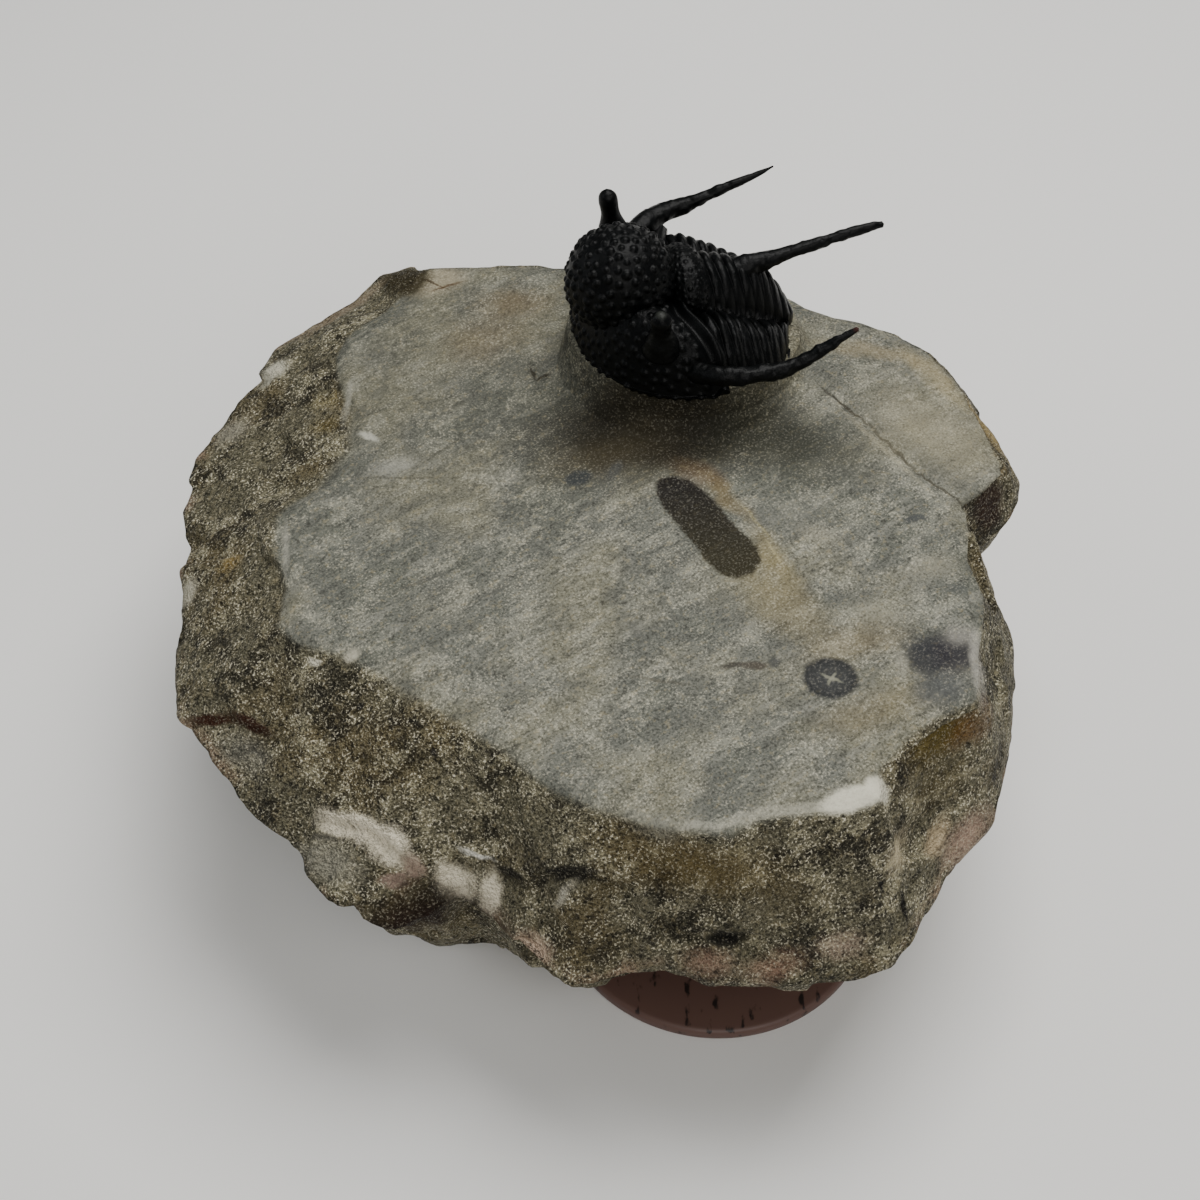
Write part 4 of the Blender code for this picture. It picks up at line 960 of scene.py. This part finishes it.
def knobbed_ball(name, steps, centre, radii, knobs):
    """Ellipsoid without poles: six square grids, pushed out to it and joined at their edges.

    Points = centre + direction * radii, pushed out along the direction by the knobs' height.
    """
    line = np.tan(np.linspace(-math.pi / 4, math.pi / 4, steps))
    u, v = np.meshgrid(line, line, indexing="ij")
    one = np.ones_like(u)
    sides = []
    for flip in (1.0, -1.0):
        sides.append(np.stack([u, v * flip, one * flip], axis=-1))
        sides.append(np.stack([v * flip, one * flip, u], axis=-1))
        sides.append(np.stack([one * flip, u, v * flip], axis=-1))
    ways = np.array(sides).reshape(-1, 3)
    ways /= np.linalg.norm(ways, axis=1)[:, None]
    points = centre + ways * radii
    spacing, knob_radius, knob_height, seed = knobs
    centres = points[scatter(points, spacing, seed)]
    lift = tubercle_lift(points, centres, knob_radius, knob_height, seed + 1)
    points = in_place(points + ways * lift[:, None])
    corner = (np.arange(steps - 1)[:, None] * steps + np.arange(steps - 1)).ravel()
    square = np.stack([corner, corner + steps, corner + steps + 1, corner + 1], axis=-1)
    faces = (square[None] + (np.arange(6) * steps * steps)[:, None, None]).reshape(-1, 4)
    return mesh_piece(name, points, faces.tolist(), weld=True)


glabella = knobbed_ball("glabella", 72, GLABELLA_CENTRE, GLABELLA_RADII, GLABELLA_KNOBS)

# Occipital ring: the last ring of the head, a flattened ball arched over the axis behind the
# glabella, with small close knobs.

OCCIPITAL_CENTRE = np.array((-0.7, 0.0, 1.7))
OCCIPITAL_RADII = np.array((2.2, 3.5, 3.15))
occipital_ring = knobbed_ball(
    "occipital_ring", 60, OCCIPITAL_CENTRE, OCCIPITAL_RADII, OCCIPITAL_KNOBS,
)

# Thorax and tail: nine overlapping rings, each with an arched middle and a rib on either side.

TAIL_X = 8.9
AXIS_HALF_WIDTH = (3.05, 2.0)
PLEURA_HALF_WIDTH = 8.2
PLEURA_END_X = 7.9
TAIL_HALF_WIDTH = 2.3
TAIL_START_X = 6.3
RING_COUNT = 9
RING_START = 0.9
RING_SLANT = 0.09
RIB_HEIGHT = 0.36
PLEURA_ARCH = 0.95
PLEURA_DROOP = 2.3
THORAX_WAVES = ((0.09, 0.9, 3, 77),)
THORAX_START = -1.6
THORAX_STATIONS = 300
THORAX_SIDES = 170
THORAX_SPAN = 0.985
TAIL_BLUNTNESS = 0.08
RIB_POWER = 0.7
UNDER_WIDTH = 0.94
UNDER_SINK = 0.3
EDGE_RISE = 0.2
THORAX_LINE = (
    (0.8, 3.9, 1.2), (1.7, 3.6, 0.8), (2.9, 3.3, 0.0), (4.3, 2.8, -0.8), (5.6, 2.2, -1.4),
    (6.8, 0.9, -2.2), (7.8, -0.8, -3.0), (8.5, -2.3, -3.3), (8.9, -3.5, -3.5),
)


def axis_half_width(x):
    """Half width of the raised middle lobe, narrowing to the tail."""
    part = np.clip(x / TAIL_X, 0.0, 1.0)
    return AXIS_HALF_WIDTH[0] + (AXIS_HALF_WIDTH[1] - AXIS_HALF_WIDTH[0]) * part ** 1.5


def thorax_half_width(x):
    """Half width of the thorax: side lobes that close on the narrow tail."""
    backward = np.clip(x / PLEURA_END_X, 0.0, 1.0)
    pleurae = PLEURA_HALF_WIDTH * np.sqrt(1.0 - backward ** 4)
    tailward = np.clip((x - TAIL_START_X) / (TAIL_X - TAIL_START_X), 0.0, 0.97)
    tail = TAIL_HALF_WIDTH * np.sqrt(1.0 - tailward ** 2)
    return np.maximum(pleurae, tail)


def thorax_height(x, y):
    """Height of the thorax: an arched axis, drooping side lobes, and a rounded rib on each ring."""
    side = np.abs(y)
    line = np.array(THORAX_LINE)
    crest = np.interp(x, line[:, 0], line[:, 1])
    furrow = np.interp(x, line[:, 0], line[:, 2])
    half_axis = axis_half_width(x)
    lobe_width = np.maximum(thorax_half_width(x) - half_axis, 0.5)
    arch = np.sqrt(np.clip(1.0 - (side / half_axis) ** 2, 0.0, 1.0))
    outward = np.clip((side - half_axis) / lobe_width, 0.0, 1.0)
    pleura = furrow + PLEURA_ARCH * np.sin(math.pi * outward) - PLEURA_DROOP * outward ** 3
    phase = (x - RING_START - RING_SLANT * side) * RING_COUNT / (TAIL_X - RING_START)
    rib = RIB_HEIGHT * (np.abs(np.sin(math.pi * phase)) ** RIB_POWER - RIB_POWER)
    return np.where(side < half_axis, furrow + (crest - furrow) * arch, pleura) + rib


stations = np.linspace(THORAX_START, TAIL_X - TAIL_BLUNTNESS, THORAX_STATIONS)
across = np.sin(np.linspace(-1, 1, THORAX_SIDES) * math.pi / 2 * THORAX_SPAN)
width = thorax_half_width(stations)
y = across * width[:, None]
x = np.broadcast_to(stations[:, None], y.shape)
base = base_height(stations)[:, None]
top = np.stack([x, y, np.maximum(thorax_height(x, y), base + EDGE_RISE)], axis=-1)
top[..., 2] += uneven(top, THORAX_WAVES)
under_y = width[:, None] * UNDER_WIDTH * np.linspace(1, -1, 12)
under = np.stack(np.broadcast_arrays(stations[:, None], under_y, base - UNDER_SINK), axis=-1)
sections = in_place(np.concatenate([top, under], axis=1))
tail_end = in_place((TAIL_X, 0.0, float(base_height(TAIL_X)) + EDGE_RISE))
thorax = ring_piece("thorax_and_tail", sections, sections[0].mean(axis=0), tail_end)

# Eyes on their stalks, and the three long spines: two from the head's back corners and one from
# the axis of the thorax.

EYE_FOOT = (-4.5, 6.9, 2.4)
EYE_TIP = (-4.85, 7.65, 6.05)
EYE_STEPS = (-0.2, 0.15, 0.3, 0.45, 0.62, 0.76, 0.88, 0.97)
EYE_RADII = (1.5, 1.15, 0.92, 0.78, 0.76, 0.8, 0.74, 0.5)
LEFT_GENAL_SPINE = (
    ((-3.4, -6.8, -0.6), 0.5),
    ((-1.6, -8.7, 0.1), 0.78), ((-0.2, -9.8, 0.5), 0.78), ((2.5, -10.1, 0.3), 0.72),
    ((4.2, -10.1, 0.3), 0.66), ((5.8, -10.1, 0.75), 0.54), ((7.4, -10.1, 1.5), 0.46),
    ((8.9, -10.1, 2.4), 0.35), ((10.3, -10.1, 3.1), 0.19),
)
RIGHT_GENAL_SPINE = (
    ((-3.6, 7.0, 0.3), 0.7),
    ((-1.6, 8.8, 0.5), 1.05), ((0.3, 9.9, 0.7), 0.9), ((2.2, 10.1, 0.95), 0.7),
    ((3.9, 10.1, 1.45), 0.54), ((5.7, 10.1, 2.05), 0.44), ((7.4, 10.1, 2.55), 0.33),
    ((9.1, 10.1, 3.05), 0.21), ((10.2, 10.1, 3.5), 0.08),
)
AXIAL_SPINE = (
    ((3.9, 0.0, 2.0), 1.15), ((5.1, 0.0, 2.45), 0.92), ((6.6, 0.0, 2.65), 0.68),
    ((8.3, 0.0, 3.0), 0.56), ((10.8, 0.0, 3.45), 0.5), ((13.3, 0.0, 3.8), 0.44),
    ((15.0, 0.0, 4.05), 0.36), ((16.0, 0.0, 4.1), 0.28),
)
FORWARD = (1.0, 0.03, 0.02)
UPWARD = (0.02, 0.03, 1.0)
FIRST_CAP = 0.4
LAST_CAP = 0.6


def smooth_path(knots, count):
    """Points and radii on a smooth Catmull-Rom curve through knots of ((x, y, z), radius)."""
    values = np.array([[*point, radius] for point, radius in knots])
    last = len(values) - 1
    padded = np.vstack([2 * values[0] - values[1], values, 2 * values[last] - values[last - 1]])
    place = np.linspace(0, last, count)
    index = np.minimum(place.astype(int), last - 1)
    t = (place - index)[:, None]
    a, b, c, d = (padded[index + shift] for shift in range(4))
    bend = 2 * a - 5 * b + 4 * c - d
    return 0.5 * (2 * b + (c - a) * t + bend * t ** 2 + (3 * b - a - 3 * c + d) * t ** 3)


def tube_piece(name, path, sides, side_hint, relief, seed):
    """Round piece carried along a path of (x, y, z, radius), its skin made uneven by relief."""
    centres = path[:, :3]
    radii = path[:, 3][:, None]
    along = np.gradient(centres, axis=0)
    along /= np.linalg.norm(along, axis=1)[:, None]
    across_way = np.cross(along, side_hint)
    across_way /= np.linalg.norm(across_way, axis=1)[:, None]
    up_way = np.cross(across_way, along)
    turn = np.arange(sides) * 2 * math.pi / sides
    across_part = np.cos(turn)[None, :, None] * across_way[:, None]
    ways = across_part + np.sin(turn)[None, :, None] * up_way[:, None]
    skin = centres[:, None] + ways * radii[..., None]
    lift = relief * uneven(skin, ((1.0, 0.9, 2, seed), (0.4, 0.3, 1, seed + 5)))
    skin = skin + ways * (lift * np.minimum(radii * 2.0, 1.0))[..., None]
    first = centres[0] - along[0] * path[0, 3] * FIRST_CAP
    last = centres[-1] + along[-1] * path[-1, 3] * LAST_CAP
    return ring_piece(name, in_place(skin), in_place(first), in_place(last))


def eye_path(side):
    """Path up one eye's stalk to its tip, with the radius at each place."""
    foot = np.array(EYE_FOOT) * (1, side, 1)
    tip = np.array(EYE_TIP) * (1, side, 1)
    knots = [(foot + (tip - foot) * step, radius) for step, radius in zip(EYE_STEPS, EYE_RADII)]
    return smooth_path(knots, 60)


# Tubes, as name, path, sides, hint for the sides' turn, relief and seed
tubes = [tube_piece(*row) for row in (
    ("right_eye", eye_path(1), 48, FORWARD, 0.03, 81),
    ("left_eye", eye_path(-1), 48, FORWARD, 0.09, 82),
    ("left_genal_spine", smooth_path(LEFT_GENAL_SPINE, 150), 36, UPWARD, 0.12, 83),
    ("right_genal_spine", smooth_path(RIGHT_GENAL_SPINE, 150), 36, UPWARD, 0.09, 84),
    ("axial_spine", smooth_path(AXIAL_SPINE, 170), 36, UPWARD, 0.09, 85),
)]

# Black fossil calcite: almost black, with faint paler clouds and a dull, finely grained skin.

CALCITE_TONES = ((0.35, "#020303"), (0.75, "#060708"))
# The near eye is grey on top, with dust and a painted highlight, and the near spine's broken tip
# shows the reddish inside
DUST_SHEEN_AND_BROKEN_TIP = (((-4.85, -7.65, 6.3), 0.5, "#2f312d"), ((10.4, -10.1, 3.2), 0.45, "#3c1f19"))
SPOT_EDGE = (1.3, 0.6, 0.8)
# Noises, as size and detail
CALCITE_CLOUDS = (1.3, 5.0)
SKIN_GRAIN = (0.14, 2.0)

calcite, tree, shader, where = new_material("black_fossil_calcite")
colour = add_ramp(tree, add_noise(tree, where, *CALCITE_CLOUDS), CALCITE_TONES)
# Grey dust and a painted highlight on the near eye's top, and the reddish broken tip of the near spine
for spot, reach, code in DUST_SHEEN_AND_BROKEN_TIP:
    mask = add_spot(tree, where, in_place(spot), [reach] * 3, 0.0, *SPOT_EDGE)
    colour = mix_colours(tree, mask, colour, linear(code))
inputs = {"Height": add_noise(tree, where, *SKIN_GRAIN), "Strength": 0.35, "Distance": 0.0001}
feed(tree, shader, {
    "Base Color": colour,
    "Roughness": 0.4,
    "Specular IOR Level": 0.14,
    "Normal": add_node(tree, "ShaderNodeBump", inputs),
})
for piece in (head_shield, glabella, occipital_ring, thorax, *tubes):
    piece.data.materials.append(calcite)
    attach(piece, "root")
    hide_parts("trilobite")

# The disc: a thin turned slice of dark red-brown wood with short dark flecks.

DISC_SIDES = 160
# Profile of the disc, as reach and height
DISC_PROFILE = (
    (4.0, 0.0), (9.0, 0.0), (12.3, 0.0), (12.5, 0.02), (12.65, 0.08), (12.75, 0.18), (12.8, 0.32),
    (12.8, 0.6), (12.8, 0.88), (12.75, 1.02), (12.65, 1.12), (12.5, 1.18), (12.3, 1.2), (9.0, 1.2),
    (4.0, 1.2),
)
FLECK_STRETCH = (1.0, 0.42, 1.0)
FLECKS = (0.8, 3.0)
WOOD_TONES = ((0.32, "#1d1412"), (0.4, "#664c44"))

turn = np.arange(DISC_SIDES) * 2 * math.pi / DISC_SIDES
reach, height = (column[:, None] + 0 * turn for column in np.array(DISC_PROFILE).T)
disc_rings = np.stack([reach * np.cos(turn), reach * np.sin(turn), height], axis=-1)
disc = ring_piece("turned_disc", disc_rings, (0, 0, 0), (0, 0, DISC_TOP))
wood, tree, shader, where = new_material("dark_red_wood")
stretched = add_node(tree, "ShaderNodeMapping", {"Vector": where, "Scale": FLECK_STRETCH})
colour = add_ramp(tree, add_noise(tree, stretched, *FLECKS), WOOD_TONES)
feed(tree, shader, {"Base Color": colour, "Roughness": 0.5})
disc.data.materials.append(wood)
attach(disc, "root")
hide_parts("wooden_disc")

# Studio: a pale floor, a broad soft light from above and behind, half as much light from the
# front, and a little from the left.

floor_mesh = bpy.data.meshes.new("floor")
floor_mesh.from_pydata([(-3, -3, 0), (3, -3, 0), (3, 3, 0), (-3, 3, 0)], [], [(0, 1, 2, 3)])
floor = bpy.data.objects.new("floor", floor_mesh)
bpy.context.scene.collection.objects.link(floor)
paint, tree, shader, _ = new_material("pale_floor")
feed(tree, shader, {"Base Color": linear("#f4f3f0"), "Roughness": 0.9})
floor.data.materials.append(paint)


def add_light(name, place, target, size, power, tint):
    """Square area light at a place in millimetres, turned to face a target."""
    lamp = bpy.data.lights.new(name, "AREA")
    lamp.shape = "SQUARE"
    lamp.size = size * MM
    lamp.energy = power
    lamp.color = tint
    holder = bpy.data.objects.new(name, lamp)
    holder.location = [value * MM for value in place]
    way = holder.location.copy()
    for axis in range(3):
        way[axis] = target[axis] * MM - holder.location[axis]
    holder.rotation_euler = way.to_track_quat("-Z", "Y").to_euler()
    bpy.context.scene.collection.objects.link(holder)


LIGHT_TARGET = (-9.2, 15.7, 20.0)
# Lights, as name, place, target, size, power and tint
LIGHTS = (
    ("back_light", (50, 110, 290), LIGHT_TARGET, 220, 0.97, (1.0, 0.99, 0.97)),
    ("left_light", (-260, 40, 180), LIGHT_TARGET, 160, 0.15, (0.95, 0.98, 1.0)),
    ("front_fill", (60, -220, 240), LIGHT_TARGET, 240, 0.48, (1.0, 0.98, 0.95)),
)
for light in LIGHTS:
    add_light(*light)
world = bpy.data.worlds.new("studio")
world.use_nodes = True
feed(world.node_tree, world.node_tree.nodes["Background"], {
    "Color": (0.9, 0.92, 0.95, 1.0),
    "Strength": 0.1,
})
bpy.context.scene.world = world

CAMERA_TARGET = (-9.2, 8.7, 27.5)
CAMERA_DISTANCE = 150.0
CAMERA_ELEVATION = math.radians(50.0)
MM_PER_PIXEL = 0.074
IMAGE_PIXELS = 1200
SENSOR_WIDTH = 36.0
lens = bpy.data.cameras.new("camera")
lens.sensor_width = SENSOR_WIDTH
lens.lens = SENSOR_WIDTH * (CAMERA_DISTANCE / MM_PER_PIXEL) / IMAGE_PIXELS
lens.clip_start = 0.001
camera = bpy.data.objects.new("camera", lens)
camera.location = (
    CAMERA_TARGET[0] * MM,
    (CAMERA_TARGET[1] - CAMERA_DISTANCE * math.cos(CAMERA_ELEVATION)) * MM,
    (CAMERA_TARGET[2] + CAMERA_DISTANCE * math.sin(CAMERA_ELEVATION)) * MM,
)
camera.rotation_euler = (math.pi / 2 - CAMERA_ELEVATION, 0.0, 0.0)
bpy.context.scene.collection.objects.link(camera)
bpy.context.scene.camera = camera
